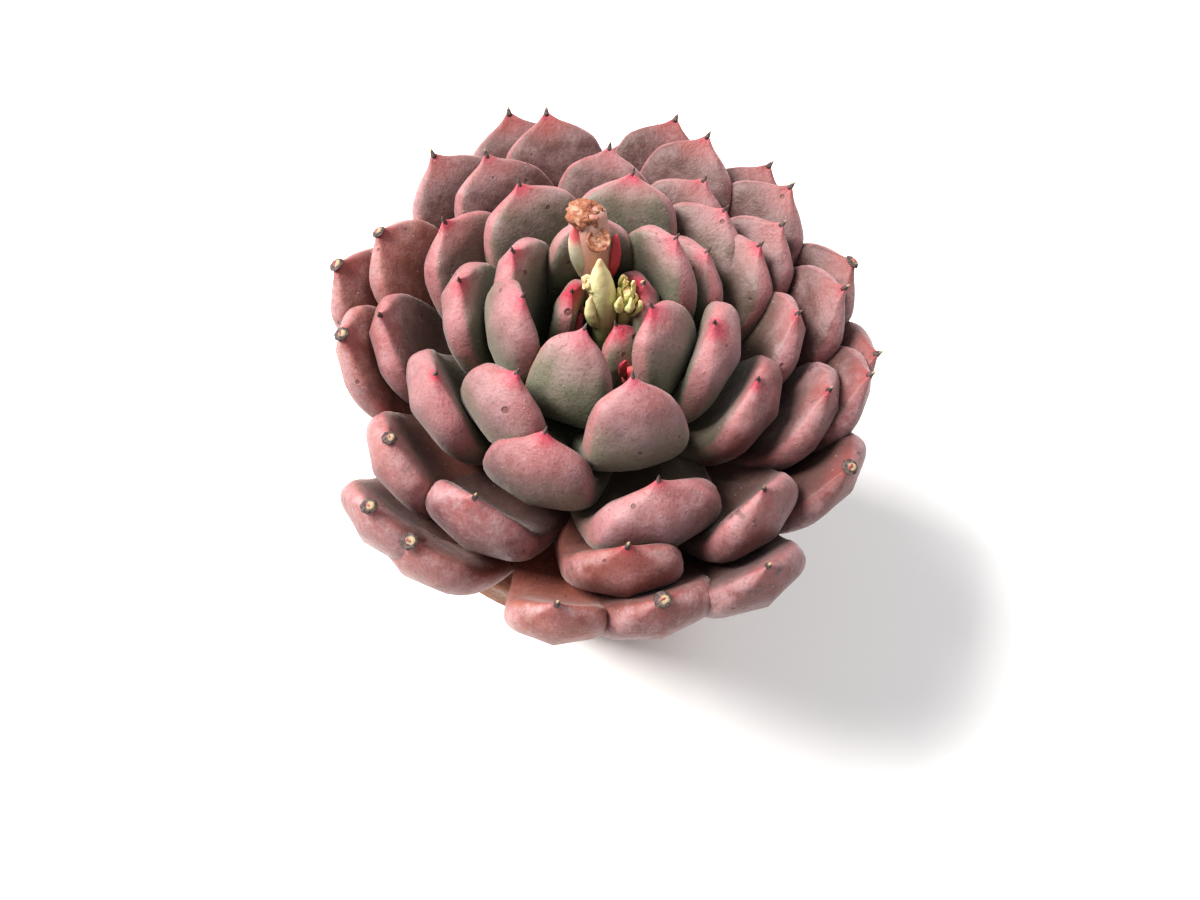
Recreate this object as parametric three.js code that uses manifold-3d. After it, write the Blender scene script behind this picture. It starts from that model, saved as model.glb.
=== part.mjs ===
// A potted Zaragoza echeveria: a fleshy rosette on a short stem, planted in a plain clay pot.
// Millimetres, +Z up. The origin is the middle of the pot's underside and the front is -Y.

import * as THREE from 'three';
import { mergeVertices } from 'three/addons/utils/BufferGeometryUtils.js';
import Module from 'manifold-3d';

const wasm = await Module();
wasm.setup();

const GAP = 0.3;
const DEGREE = Math.PI / 180;
const WELD = 1e-4;

// Pot
const POT_HEIGHT = 54;
const POT_RIM_RADIUS = 31;
const POT_FOOT_RADIUS = 21;
const POT_FOOT_BEVEL = 1;
const POT_WALL = 3;
const POT_FLOOR = 4;
const RIM_BAND_HEIGHT = 11;
const RIM_BAND_STEP = 1.4;
const RIM_BAND_BEVEL = 0.7;
const LIP_ROUND = 1;
const POT_SIDES = 56;
const DRAIN_COUNT = 4;
const DRAIN_RADIUS = 2.5;
const DRAIN_CIRCLE_RADIUS = 12;
const DRAIN_SIDES = 16;

// Soil
const SOIL_EDGE = 46.5;
const SOIL_CROWN = 48.5;
// Part of the way out to the pot, the soil has come down by only this share of its crown.
const SOIL_SHOULDER = 0.55;
const SOIL_SHOULDER_RISE = 0.8;
const SOIL_SIDES = 40;
const STEM_HOLE_DEPTH = 12;

// Stem
const STEM_RADIUS = 4.6;
const STEM_TOP_RADIUS = 4.2;
const STEM_FOOT_RADIUS = 3.7;
const STEM_CROWN = 1;
const STEM_TAPER_START = 3;
const STEM_SIDES = 12;

// Rosette: a leaf's age runs from 0, the youngest, in the heart, to 1, the oldest, lowest down.
const LEAF_COUNT = 61;
const FIRST_AZIMUTH = 78;
const DIVERGENCE = 137.8;
const CROWDING = 7.5;
const CROWDED_SIDE = 41;
const ROSETTE_RADIUS = 36;
const SPREAD_POWER = 2.2;
const HEART_RADIUS = 1.4;
const TIP_LEVEL = POT_HEIGHT + 24;
const HEART_RISE = 8;
const HEART_RISE_LEAF = 6.5;
const OUTER_DROP = 5;
const OUTER_DROP_POWER = 4;
const STEM_TOP = TIP_LEVEL - 13;
const LOWEST_LEAF = TIP_LEVEL - 23.5;
const HEART_ROOT_RADIUS = 1;
const ROOT_RADIUS = 3;

// Leaves: widths and thicknesses at the broadest place, angles up from level.
const HEART_LEAF_WIDTH = 5.5;
const LEAF_WIDTH = 14.5;
const OUTER_LEAF_EXTRA_WIDTH = 1.5;
const WIDENING_LEAVES = 5;
const THICKNESS_TO_WIDTH = 0.43;
const INNER_SHARE = 0.56;
const MARGIN_LIFT = 0.06;
// How far the inner face is hollowed, as a share of the width.
const DISH = 0.08;
// Below 1, this draws the oval of a leaf's section out into a blunt lens with full margins.
const MARGIN_POWER = 0.7;
const LEAF_SIDES = 8;
const START_ANGLE = 0;
const HEART_START_ANGLE = 35;
const YOUNG_POWER = 4;
const POINTED_POWER = 1.6;
const TIP_ANGLE = 69;
const HEART_TIP_ANGLE = 100;
const TIP_ANGLE_POWER = 1.6;
const ROOT_HANDLE = 0.45;
const TIP_HANDLE = 0.5;
// The plant leans back a little: leaves at the front curl up further and the rear ones less.
const LEANING = 26;
const YOUNG_LEANING = 18;
const LEANING_HANDLE = 0.2;
const UNEVEN_WIDTH = 0.05;
const UNEVEN_TWIST = 5;

// The uneven sizes come from a repeatable row of numbers, each made from the one before.
const SEED = 20;
const DRAW_FACTOR = 1664525;
const DRAW_STEP = 1013904223;
const DRAW_RANGE = 4294967296;

// A leaf's form from root to tip: distance along it, then its width, its thickness and the
// width of a young leaf, as shares of the leaf's own. It ends in a short point.
const LEAF_FORM = [
  [0, 0, 0, 0],
  [0.04, 0.7, 0.55, 0.7],
  [0.28, 1.04, 0.85, 1.04],
  [0.5, 1.05, 0.97, 1.03],
  [0.7, 1.01, 1, 0.97],
  [0.81, 0.95, 0.95, 0.85],
  [0.88, 0.82, 0.78, 0.67],
  [0.93, 0.52, 0.46, 0.42],
  [0.965, 0.2, 0.22, 0.15],
  [1, 0, 0, 0],
];

// Places in the spiral whose leaf has been shed or picked off.
const SHED = [14, 25, 30, 35, 40, 54, 57];

// Leaves that stand out of the spiral: degrees round the stem, then millimetres outwards.
const ASTRAY = {
  0: [105, 1],
  1: [10, 0],
  5: [-4, 2.5],
  6: [0, -2],
  8: [-10, 0],
  9: [6, 1],
  10: [20, -1],
  11: [-12, 0],
  13: [0, 3],
  16: [8, -3],
  17: [-9, -1],
  18: [8, 1],
  21: [-10, 0],
  22: [0, 0, 1.18],
  27: [-4, 3],
  34: [0, 2],
  38: [-6, -4],
  39: [6, 1],
  41: [-6, -1],
  43: [2, -4],
  46: [0, 2],
  48: [0, 2],
  51: [9, 1, 0.85],
  52: [4, 1],
  60: [-5, -1],
};

// Two leaves more than the spiral gives, squeezed in at the back: azimuth and place in the age.
const SQUEEZED_IN = [
  [60, 24.5],
  [30, 21.5],
];

// What rises among the heart's leaves. A stem is a list of points on its middle line, each with
// the radius there, from the root up. A bract runs from its root to its tip and then has its
// width and the azimuth that its back faces. Heights are from the rosette's tip level.
const SPROUTS = {
  old_flower_stalk: {
    stems: [
      [[-0.2, 2, -15, 1.4], [-0.5, 3.1, -6, 1.7], [-1, 4.2, 2.4, 1.9], [-1.6, 5.2, 7.8, 2.1],
        [-2.1, 6.5, 11, 1.7]],
      [[-1.5, 5.2, 7, 1.2], [-1.1, 4.1, 9, 1.3], [-0.9, 3.6, 9.9, 1.4]],
    ],
    bracts: [
      [[-2.4, 3.8, 1.6], [-3.8, 4.9, 10.8], 2.6, 215],
      [[0.4, 4, 0.5], [1.1, 5.2, 9.4], 1.8, 330],
    ],
  },
  young_shoot: {
    stems: [
      [[0.4, -0.3, -15, 0.9], [0.5, -0.2, -5, 1.2], [0.2, 0.5, 1.5, 1.4], [-0.3, 1.1, 5.5, 1.2],
        [-0.6, 1.5, 8.6, 0.4]],
      [[-0.2, 1, 3.6, 0.7], [-1.5, 1, 4.7, 0.8], [-2.2, 1.1, 5.3, 0.5]],
    ],
    bracts: [],
  },
  small_shoot: {
    stems: [[[2.2, 0.2, -14.6, 0.7], [2.8, 0.3, -5, 0.8], [3.1, 0.5, 1, 1], [3.1, 0.8, 4, 0.7]]],
    bracts: [
      [[3.4, 0, 0.4], [4.6, -0.7, 4.4], 1.5, 330],
      [[3.5, 1, 0.6], [4.7, 1.9, 4.8], 1.5, 40],
      [[2.9, 1.1, 1], [2.5, 2.3, 5.2], 1.4, 115],
    ],
  },
  crimson_bud: {
    stems: [[[2, -2.2, -14.6, 0.8], [3.4, -4.6, -8, 1.1], [4.6, -7, -3, 1.3], [5, -8, 0, 0.4]]],
    bracts: [
      [[4.9, -6.2, -4], [6.6, -7, 0.6], 1.6, 20],
      [[3.9, -6.4, -4], [3.4, -8.2, 1], 1.6, 220],
    ],
  },
};
const STEM_SPROUT_SIDES = 10;
const STEPS_A_STRETCH = 2;
const BRACT_SIDES = 6;
const BRACT_THICKNESS = 0.75;
const BRACT_BOW = 0.8;

// A bract's width at shares of its length.
const BRACT_FORM = [[0, 0], [0.03, 0.6], [0.35, 1], [0.65, 0.85], [0.9, 0.35], [1, 0]];

const COLOURS = {
  pot: { color: 0xb9714f, roughness: 0.92 },
  soil: { color: 0x4a3a30, roughness: 1 },
  rosette: { color: 0xa87c78, roughness: 0.62 },
  old_flower_stalk: { color: 0xc58c78, roughness: 0.7 },
  young_shoot: { color: 0xdcd7a2, roughness: 0.6 },
  small_shoot: { color: 0xc5c98c, roughness: 0.6 },
  crimson_bud: { color: 0xc65a5c, roughness: 0.6 },
};

// A repeatable draw between -1 and 1.
let drawn = SEED;
function draw() {
  drawn = (drawn * DRAW_FACTOR + DRAW_STEP) % DRAW_RANGE;
  return (drawn / DRAW_RANGE) * 2 - 1;
}

// A closed geometry as a solid that can be joined and cut.
function toSolid(geometry) {
  const bare = geometry.clone();
  bare.deleteAttribute('normal');
  bare.deleteAttribute('uv');
  const merged = mergeVertices(bare, WELD);
  const mesh = new wasm.Mesh({
    numProp: 3,
    vertProperties: new Float32Array(merged.attributes.position.array),
    triVerts: new Uint32Array(dropFlat(merged.index.array)),
  });
  return new wasm.Manifold(mesh);
}

// The triangles that still have three corners once the poles are merged.
function dropFlat(index) {
  const kept = [];
  for (let i = 0; i < index.length; i += 3) {
    const [a, b, c] = [index[i], index[i + 1], index[i + 2]];
    if (a !== b && b !== c && c !== a) kept.push(a, b, c);
  }
  return kept;
}

// The largest shell alone, which fills sealed hollows and drops loose scraps.
function outerShell(solid) {
  const shells = solid.decompose();
  return shells.reduce((best, shell) => (shell.volume() > best.volume() ? shell : best));
}

function toGeometry(solid) {
  const mesh = solid.getMesh();
  const geometry = new THREE.BufferGeometry();
  geometry.setAttribute('position', new THREE.BufferAttribute(mesh.vertProperties, 3));
  geometry.setIndex(new THREE.BufferAttribute(mesh.triVerts, 1));
  geometry.computeVertexNormals();
  return geometry;
}

// A turned piece from its half outline, points of radius and height from bottom to top.
function turned(outline, sides) {
  const points = outline.map(([radius, height]) => new THREE.Vector2(radius, height));
  return new THREE.LatheGeometry(points, sides).rotateX(Math.PI / 2);
}

// A ball's grid bent into another closed form: place gives the point for a share of the way
// round and a row number from the root.
function bentGrid(sides, rows, place) {
  const grid = new THREE.SphereGeometry(1, sides, rows);
  const { position, uv } = grid.attributes;
  for (let i = 0; i < position.count; i += 1) {
    const row = Math.round(uv.getY(i) * rows);
    const point = place(uv.getX(i) * 2 * Math.PI, row);
    position.setXYZ(i, point.x, point.y, point.z);
  }
  return grid;
}

function mix(a, b, share) {
  return a + (b - a) * share;
}

// The sizes and place of the leaf at one step of the spiral.
function describeLeaf(step) {
  const age = step / (LEAF_COUNT - 1);
  const youth = 1 - age;
  const even = FIRST_AZIMUTH - DIVERGENCE * step;
  const crowded = CROWDING * Math.cos((even - CROWDED_SIDE) * DEGREE);
  const [turn, out, broader] = ASTRAY[step] ?? [0, 0];
  const widening = 1 - Math.exp(-step / WIDENING_LEAVES);
  const width = mix(HEART_LEAF_WIDTH, LEAF_WIDTH, widening) + OUTER_LEAF_EXTRA_WIDTH * age;
  const rise = (step / HEART_RISE_LEAF) * Math.exp(1 - step / HEART_RISE_LEAF);
  return {
    azimuth: (even - crowded + turn) * DEGREE,
    youth,
    pointed: youth ** POINTED_POWER,
    tipRadius: mix(ROSETTE_RADIUS, HEART_RADIUS, youth ** SPREAD_POWER) + out,
    tipHeight: TIP_LEVEL + HEART_RISE * rise ** 2 - OUTER_DROP * age ** OUTER_DROP_POWER,
    rootRadius: mix(HEART_ROOT_RADIUS, ROOT_RADIUS, age),
    rootHeight: mix(STEM_TOP - STEM_CROWN, LOWEST_LEAF, age),
    width: width * (broader ?? 1 + UNEVEN_WIDTH * draw()),
    startAngle: mix(START_ANGLE, HEART_START_ANGLE, youth ** YOUNG_POWER) * DEGREE,
    tipAngle: mix(TIP_ANGLE, HEART_TIP_ANGLE, youth ** TIP_ANGLE_POWER) * DEGREE,
    twist: UNEVEN_TWIST * draw() * DEGREE,
  };
}

function direction(angle) {
  return new THREE.Vector2(Math.cos(angle), Math.sin(angle));
}

// The leaf's middle line in its own upright plane: x runs outwards from the stem and y up.
function leafLine(leaf) {
  const root = new THREE.Vector2(leaf.rootRadius, leaf.rootHeight);
  const tip = new THREE.Vector2(leaf.tipRadius, leaf.tipHeight);
  const chord = root.distanceTo(tip);
  const front = -Math.sin(leaf.azimuth);
  const leaning = (LEANING + YOUNG_LEANING * leaf.youth) * DEGREE;
  const tipAngle = leaf.tipAngle + front * leaning;
  const tipHandle = TIP_HANDLE + front * leaf.youth * LEANING_HANDLE;
  const start = root.clone().addScaledVector(direction(leaf.startAngle), ROOT_HANDLE * chord);
  const end = tip.clone().addScaledVector(direction(tipAngle), -tipHandle * chord);
  return new THREE.CubicBezierCurve(root, start, end, tip);
}

// A cosine or sine drawn out towards its ends.
function blunt(part) {
  return Math.sign(part) * Math.abs(part) ** MARGIN_POWER;
}

// A spoon-shaped leaf, hollow on the side to the heart and full on its back.
function leafGeometry(leaf) {
  const line = leafLine(leaf);
  const outwards = new THREE.Vector3(Math.cos(leaf.azimuth), Math.sin(leaf.azimuth), 0);
  const sideways = new THREE.Vector3(-outwards.y, outwards.x, 0);
  const thickness = leaf.width * THICKNESS_TO_WIDTH;
  return bentGrid(LEAF_SIDES, LEAF_FORM.length - 1, (round, row) => {
    const [along, wide, thick, youngWide] = LEAF_FORM[row];
    const [level, third] = [blunt(Math.cos(round)), blunt(Math.sin(round))];
    const middle = line.getPointAt(along);
    const heading = line.getTangentAt(along);
    const inwards = outwards.clone().multiplyScalar(-heading.y);
    inwards.z = heading.x;
    const turn = leaf.twist * along;
    const side = sideways.clone().multiplyScalar(Math.cos(turn));
    side.addScaledVector(inwards, Math.sin(turn));
    const across = (level * leaf.width * mix(wide, youngWide, leaf.pointed)) / 2;
    const face = third > 0 ? INNER_SHARE : 1 - INNER_SHARE;
    const lift = MARGIN_LIFT * Math.abs(across) * level ** 2;
    const dish = third > 0 ? DISH * leaf.width * thick * (1 - level ** 2) : 0;
    const depth = third * thickness * thick * face + lift - dish;
    const point = outwards.clone().multiplyScalar(middle.x);
    point.z = middle.y;
    return point.addScaledVector(side, across).addScaledVector(inwards, depth);
  });
}

// A round stem up a line of points, with its own radius at each, closed at both ends. The
// margin makes it that much fatter and longer.
function stemUpLine(line, margin) {
  const points = line.map(([x, y, z]) => new THREE.Vector3(x, y, TIP_LEVEL + z));
  const curve = new THREE.CatmullRomCurve3(points);
  const radii = new THREE.SplineCurve(line.map((point, i) => new THREE.Vector2(i, point[3])));
  const steps = STEPS_A_STRETCH * (line.length - 1);
  return bentGrid(STEM_SPROUT_SIDES, steps + 2, (round, row) => {
    const share = THREE.MathUtils.clamp((row - 1) / steps, 0, 1);
    const heading = curve.getTangent(share);
    const across = new THREE.Vector3(0, 1, 0).addScaledVector(heading, -heading.y).normalize();
    const third = new THREE.Vector3().crossVectors(heading, across);
    const point = curve.getPoint(share);
    if (row === 0) return point.addScaledVector(heading, -margin);
    if (row === steps + 2) return point.addScaledVector(heading, margin);
    const radius = radii.getPoint(share).y + margin;
    point.addScaledVector(across, radius * Math.cos(round));
    return point.addScaledVector(third, radius * Math.sin(round));
  });
}

// A pointed blade from its root to its tip, bowed towards its back.
function bractGeometry([root, tip, width, facing], margin) {
  const start = new THREE.Vector3(root[0], root[1], TIP_LEVEL + root[2]);
  const run = new THREE.Vector3(tip[0], tip[1], TIP_LEVEL + tip[2]).sub(start);
  const heading = run.clone().normalize();
  const azimuth = facing * DEGREE;
  const back = new THREE.Vector3(Math.cos(azimuth), Math.sin(azimuth), 0);
  back.addScaledVector(heading, -back.dot(heading)).normalize();
  const side = new THREE.Vector3().crossVectors(back, heading);
  return bentGrid(BRACT_SIDES, BRACT_FORM.length - 1, (round, row) => {
    const [along, wide] = BRACT_FORM[row];
    const atEnd = row === 0 || row === BRACT_FORM.length - 1;
    const half = atEnd ? 0 : (width * wide) / 2 + margin;
    const depth = atEnd ? 0 : BRACT_THICKNESS / 2 + margin;
    const bow = BRACT_BOW * Math.sin(Math.PI * along);
    const point = start.clone().addScaledVector(run, along).addScaledVector(back, bow);
    if (row === 0) point.addScaledVector(heading, -margin);
    if (row === BRACT_FORM.length - 1) point.addScaledVector(heading, margin);
    point.addScaledVector(side, half * Math.cos(round));
    return point.addScaledVector(back, depth * Math.sin(round));
  });
}

// The stems and bracts of one sprout joined into one solid.
function sproutSolid({ stems, bracts }, margin) {
  const pieces = [
    ...stems.map((line) => stemUpLine(line, margin)),
    ...bracts.map((bract) => bractGeometry(bract, margin)),
  ];
  return pieces.map(toSolid).reduce((whole, piece) => whole.add(piece));
}

function potGeometry() {
  const bandFoot = POT_HEIGHT - RIM_BAND_HEIGHT;
  const wallTop = POT_RIM_RADIUS - RIM_BAND_STEP;
  const outline = [
    [0, 0],
    [POT_FOOT_RADIUS - POT_FOOT_BEVEL, 0],
    [POT_FOOT_RADIUS, POT_FOOT_BEVEL],
    [wallTop, bandFoot - RIM_BAND_BEVEL],
    [POT_RIM_RADIUS - RIM_BAND_BEVEL, bandFoot],
    [POT_RIM_RADIUS, bandFoot + RIM_BAND_BEVEL],
    [POT_RIM_RADIUS, POT_HEIGHT - LIP_ROUND],
    [POT_RIM_RADIUS - LIP_ROUND, POT_HEIGHT],
    [POT_RIM_RADIUS - POT_WALL + LIP_ROUND, POT_HEIGHT],
    [POT_RIM_RADIUS - POT_WALL, POT_HEIGHT - LIP_ROUND],
    [potInside(bandFoot), bandFoot],
    [potInside(POT_FLOOR), POT_FLOOR],
    [0, POT_FLOOR],
  ];
  let pot = toSolid(turned(outline, POT_SIDES));
  for (let i = 0; i < DRAIN_COUNT; i += 1) {
    const angle = ((i + 0.5) / DRAIN_COUNT) * 2 * Math.PI;
    const drill = new THREE.CylinderGeometry(DRAIN_RADIUS, DRAIN_RADIUS, 4 * POT_FLOOR, DRAIN_SIDES);
    drill.rotateX(Math.PI / 2);
    drill.translate(DRAIN_CIRCLE_RADIUS * Math.cos(angle), DRAIN_CIRCLE_RADIUS * Math.sin(angle), 0);
    pot = pot.subtract(toSolid(drill));
  }
  return toGeometry(pot);
}

// The radius of the pot's inside at a height.
function potInside(height) {
  const foot = POT_FOOT_RADIUS - POT_WALL;
  const mouth = POT_RIM_RADIUS - POT_WALL;
  return mix(foot, mouth, height / POT_HEIGHT);
}

function soilGeometry() {
  const hole = STEM_RADIUS + GAP;
  const floor = POT_FLOOR + GAP;
  return turned([
    [0, floor],
    [potInside(floor) - GAP, floor],
    [potInside(SOIL_EDGE) - GAP, SOIL_EDGE],
    [potInside(SOIL_EDGE) * SOIL_SHOULDER, mix(SOIL_EDGE, SOIL_CROWN, SOIL_SHOULDER_RISE)],
    [hole, SOIL_CROWN],
    [hole, SOIL_CROWN - STEM_HOLE_DEPTH],
    [0, SOIL_CROWN - STEM_HOLE_DEPTH],
  ], SOIL_SIDES);
}

function stemGeometry() {
  return turned([
    [0, SOIL_CROWN - STEM_HOLE_DEPTH + GAP],
    [STEM_FOOT_RADIUS, SOIL_CROWN - STEM_HOLE_DEPTH + GAP],
    [STEM_RADIUS, SOIL_CROWN],
    [STEM_RADIUS, LOWEST_LEAF + STEM_TAPER_START],
    [STEM_TOP_RADIUS, STEM_TOP - STEM_CROWN],
    [0, STEM_TOP],
  ], STEM_SIDES);
}

// The stem and every leaf grown together, cleared where the sprouts rise.
function rosetteGeometry() {
  const steps = [...Array(LEAF_COUNT).keys()].filter((step) => !SHED.includes(step));
  const leaves = steps.map(describeLeaf);
  for (const [azimuth, step] of SQUEEZED_IN) {
    leaves.push({ ...describeLeaf(step), azimuth: azimuth * DEGREE });
  }
  let rosette = toSolid(stemGeometry());
  for (const leaf of leaves) rosette = rosette.add(toSolid(leafGeometry(leaf)));
  for (const sprout of Object.values(SPROUTS)) {
    rosette = rosette.subtract(sproutSolid(sprout, GAP));
  }
  return toGeometry(outerShell(rosette));
}

function named(name, geometry) {
  const material = new THREE.MeshStandardMaterial({ ...COLOURS[name], metalness: 0 });
  const mesh = new THREE.Mesh(geometry, material);
  mesh.name = name;
  return mesh;
}

const plant = new THREE.Group();
plant.add(named('pot', potGeometry()));
plant.add(named('soil', soilGeometry()));
plant.add(named('rosette', rosetteGeometry()));
for (const [name, sprout] of Object.entries(SPROUTS)) {
  plant.add(named(name, toGeometry(sproutSolid(sprout, 0))));
}

export default plant;
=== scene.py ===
"""A potted Zaragoza echeveria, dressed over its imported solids. Metres, +Z up, front is -Y."""

import logging
import math
from collections.abc import Sequence
from dataclasses import dataclass, field
from enum import Enum

import bmesh
import bpy
import numpy as np
from mathutils import Matrix, Vector
from mathutils.bvhtree import BVHTree
from mathutils.noise import noise, noise_vector, ridged_multi_fractal, seed_set


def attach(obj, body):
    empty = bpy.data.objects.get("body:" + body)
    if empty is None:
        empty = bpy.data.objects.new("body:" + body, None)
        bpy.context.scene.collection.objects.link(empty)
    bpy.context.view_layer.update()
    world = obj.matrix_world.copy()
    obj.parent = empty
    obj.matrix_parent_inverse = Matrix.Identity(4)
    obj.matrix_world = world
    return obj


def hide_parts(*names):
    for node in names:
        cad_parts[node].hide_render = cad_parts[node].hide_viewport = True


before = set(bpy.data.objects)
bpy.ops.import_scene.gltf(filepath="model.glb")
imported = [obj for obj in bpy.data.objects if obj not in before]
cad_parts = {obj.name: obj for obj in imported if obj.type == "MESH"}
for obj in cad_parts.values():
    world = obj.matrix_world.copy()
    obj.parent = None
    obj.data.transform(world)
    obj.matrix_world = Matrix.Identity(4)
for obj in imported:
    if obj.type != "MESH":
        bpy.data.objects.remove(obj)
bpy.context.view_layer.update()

MM = 0.001
DEGREE = math.pi / 180
TIP_LEVEL = 78 * MM
POT_HEIGHT = 54 * MM
SOIL_CROWN = 48.5 * MM
STEM_HOLE_DEPTH = 12 * MM
GAP = 0.3 * MM
DIVERGENCE = 137.8
FOLD_SEED = 4
LOG = logging.getLogger("echeveria")

Mesh = bpy.types.Mesh
Piece = bpy.types.Object
Material = bpy.types.Material
Fields = dict[str, np.ndarray]
Outline = list[tuple[float, float]]
Tone = tuple[float, float, float]
Place = tuple[float, float, float]


# Node trees


class Value:
    """The output of a node, which takes part in sums as a number or a vector does."""

    def __init__(self, bench: "Bench", socket: bpy.types.NodeSocket) -> None:
        """Wraps an output of a tree under construction."""
        self.bench = bench
        self.socket = socket

    def other(self, name: str | int) -> "Value":
        """Another output of the same node."""
        return Value(self.bench, self.socket.node.outputs[name])

    def __add__(self, right: "Operand") -> "Value":
        """This plus a value."""
        return self.bench.combine("ADD", self, right)

    def __radd__(self, left: "Operand") -> "Value":
        """A value plus this."""
        return self.bench.combine("ADD", left, self)

    def __sub__(self, right: "Operand") -> "Value":
        """This less a value."""
        return self.bench.combine("SUBTRACT", self, right)

    def __rsub__(self, left: "Operand") -> "Value":
        """A value less this."""
        return self.bench.combine("SUBTRACT", left, self)

    def __mul__(self, right: "Operand") -> "Value":
        """This times a value."""
        return self.bench.combine("MULTIPLY", self, right)

    def __rmul__(self, left: "Operand") -> "Value":
        """A value times this."""
        return self.bench.combine("MULTIPLY", left, self)

    def __truediv__(self, right: "Operand") -> "Value":
        """This divided by a value."""
        return self.bench.combine("DIVIDE", self, right)

    def __pow__(self, right: "Operand") -> "Value":
        """This to the power of a value."""
        return self.bench.combine("POWER", self, right)


Operand = Value | float | tuple
Colour = Value | Tone


class Bench:
    """A shader or geometry node tree under construction."""

    def __init__(self, tree: bpy.types.NodeTree) -> None:
        """Starts work on a tree."""
        self.tree = tree

    def node(
        self,
        kind: str,
        settings: dict | None = None,
        sockets: dict | None = None,
        output: str | int = 0,
    ) -> Value:
        """Adds any node.

        Args:
            kind: The node's type name.
            settings: Its own settings, which are set first.
            sockets: Numbers, tuples or values for its inputs, by name or number.
            output: The output to return.

        Returns:
            The chosen output.
        """
        node = self.tree.nodes.new(kind)
        for name, setting in (settings or {}).items():
            setattr(node, name, setting)
        for name, value in (sockets or {}).items():
            self.feed(node.inputs[name], value)
        return Value(self, node.outputs[output])

    def feed(self, socket: bpy.types.NodeSocket, value: object) -> None:
        """Links a value to an input, or sets the input's own number, vector or colour.

        Args:
            socket: The input.
            value: The value to link, or the number or tuple to set.
        """
        if isinstance(value, Value):
            self.tree.links.new(value.socket, socket)
        elif socket.type == "RGBA" and len(value) == 3:
            socket.default_value = (*value, 1)
        else:
            socket.default_value = value

    def combine(self, operation: str, left: Operand, right: Operand) -> Value:
        """One sum, on vectors where either side is one.

        Args:
            operation: The name that Math and Vector Math nodes share.
            left: The first operand.
            right: The second operand.

        Returns:
            The result.
        """
        sides = (left, right)
        vectors = [self._is_vector(side) for side in sides]
        if not any(vectors):
            return self.node("ShaderNodeMath", {"operation": operation}, dict(enumerate(sides)))
        if operation == "MULTIPLY" and not all(vectors):
            vector, number = sides if vectors[0] else sides[::-1]
            return self.node("ShaderNodeVectorMath", {"operation": "SCALE"}, {0: vector, 3: number})
        return self.node("ShaderNodeVectorMath", {"operation": operation}, dict(enumerate(sides)))

    @staticmethod
    def _is_vector(side: Operand) -> bool:
        """Whether an operand is a vector."""
        if isinstance(side, Value):
            return side.socket.type == "VECTOR"
        return isinstance(side, tuple)

    def math(self, operation: str, *numbers: Operand) -> Value:
        """One Math node, such as a cosine or a minimum."""
        return self.node("ShaderNodeMath", {"operation": operation}, dict(enumerate(numbers)))

    def vector(self, x: Operand, y: Operand, z: Operand) -> Value:
        """A vector from its three parts."""
        return self.node("ShaderNodeCombineXYZ", None, {0: x, 1: y, 2: z})

    def parts(self, vector: Value) -> tuple[Value, Value, Value]:
        """The three parts of a vector."""
        x = self.node("ShaderNodeSeparateXYZ", None, {0: vector})
        return x, x.other(1), x.other(2)

    def smooth(self, value: Operand, low: float, high: float, start: float = 0, end: float = 1) -> Value:
        """A soft step from start to end, as a value goes from low to high."""
        sockets = {0: value, 1: low, 2: high, 3: start, 4: end}
        return self.node("ShaderNodeMapRange", {"interpolation_type": "SMOOTHSTEP"}, sockets)

    def between(self, start: Operand, end: Operand, share: Operand) -> Value:
        """The number that lies a share of the way from start to end."""
        return self.node("ShaderNodeMix", {"data_type": "FLOAT"}, {0: share, 2: start, 3: end})


class Paint(Bench):
    """A material's tree under construction, with its base colour so far."""

    def __init__(self, tree: bpy.types.NodeTree) -> None:
        """Starts work on a new material's tree."""
        super().__init__(tree)
        self.shader = tree.nodes["Principled BSDF"]
        self.colour: Colour = (0.8, 0.8, 0.8)

    def lay(self, share: Operand, tone: Colour) -> None:
        """Lays a colour over what is there already."""
        self.colour = self.blend(share, self.colour, tone)

    def surface(self, rough: Operand, height: Value, depth: float) -> None:
        """Gives the shader what varies over the surface.

        Args:
            rough: The roughness.
            height: The relief, from 0 to 1.
            depth: How high the relief stands, in metres.
        """
        sockets = {"Height": height, "Distance": depth, "Strength": 1.0}
        bump = self.node("ShaderNodeBump", None, sockets)
        varying = {"Base Color": self.colour, "Roughness": rough, "Normal": bump}
        for name, value in varying.items():
            self.feed(self.shader.inputs[name], value)

    def blend(self, share: Operand, under: Colour, over: Colour) -> Value:
        """One colour laid over another by a share."""
        return self.node("ShaderNodeMix", {"data_type": "RGBA"}, {0: share, 6: under, 7: over}, 2)

    def place(self) -> Value:
        """Where the surface is, in the object's own coordinates."""
        return self.node("ShaderNodeTexCoord", None, None, "Object")

    def noise(self, place: Value, scale: float, detail: float = 3, rough: float = 0.5) -> Value:
        """Soft noise over a place, from 0 to 1."""
        sockets = {"Vector": place, "Scale": scale, "Detail": detail, "Roughness": rough}
        return self.node("ShaderNodeTexNoise", None, sockets)

    def spots(self, place: Value, scale: float, size: float, share: float) -> Value:
        """Scattered round spots over a place.

        Args:
            place: Where the surface is.
            scale: Cells to a metre.
            size: Radius of a spot, as a share of a cell.
            share: The share of the cells that have one.

        Returns:
            1 within a spot and 0 outside it.
        """
        cell = self.node("ShaderNodeTexVoronoi", None, {"Vector": place, "Scale": scale})
        chosen = self.node("ShaderNodeSeparateColor", None, {0: cell.other("Color")})
        present = self.math("LESS_THAN", chosen, share)
        return self.smooth(cell, size, size * 0.6) * present

    def named(self, name: str, part: str = "Fac") -> Value:
        """A shader tree's reading of one of the mesh's own attributes."""
        return self.node("ShaderNodeAttribute", {"attribute_name": name}, None, part)


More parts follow.
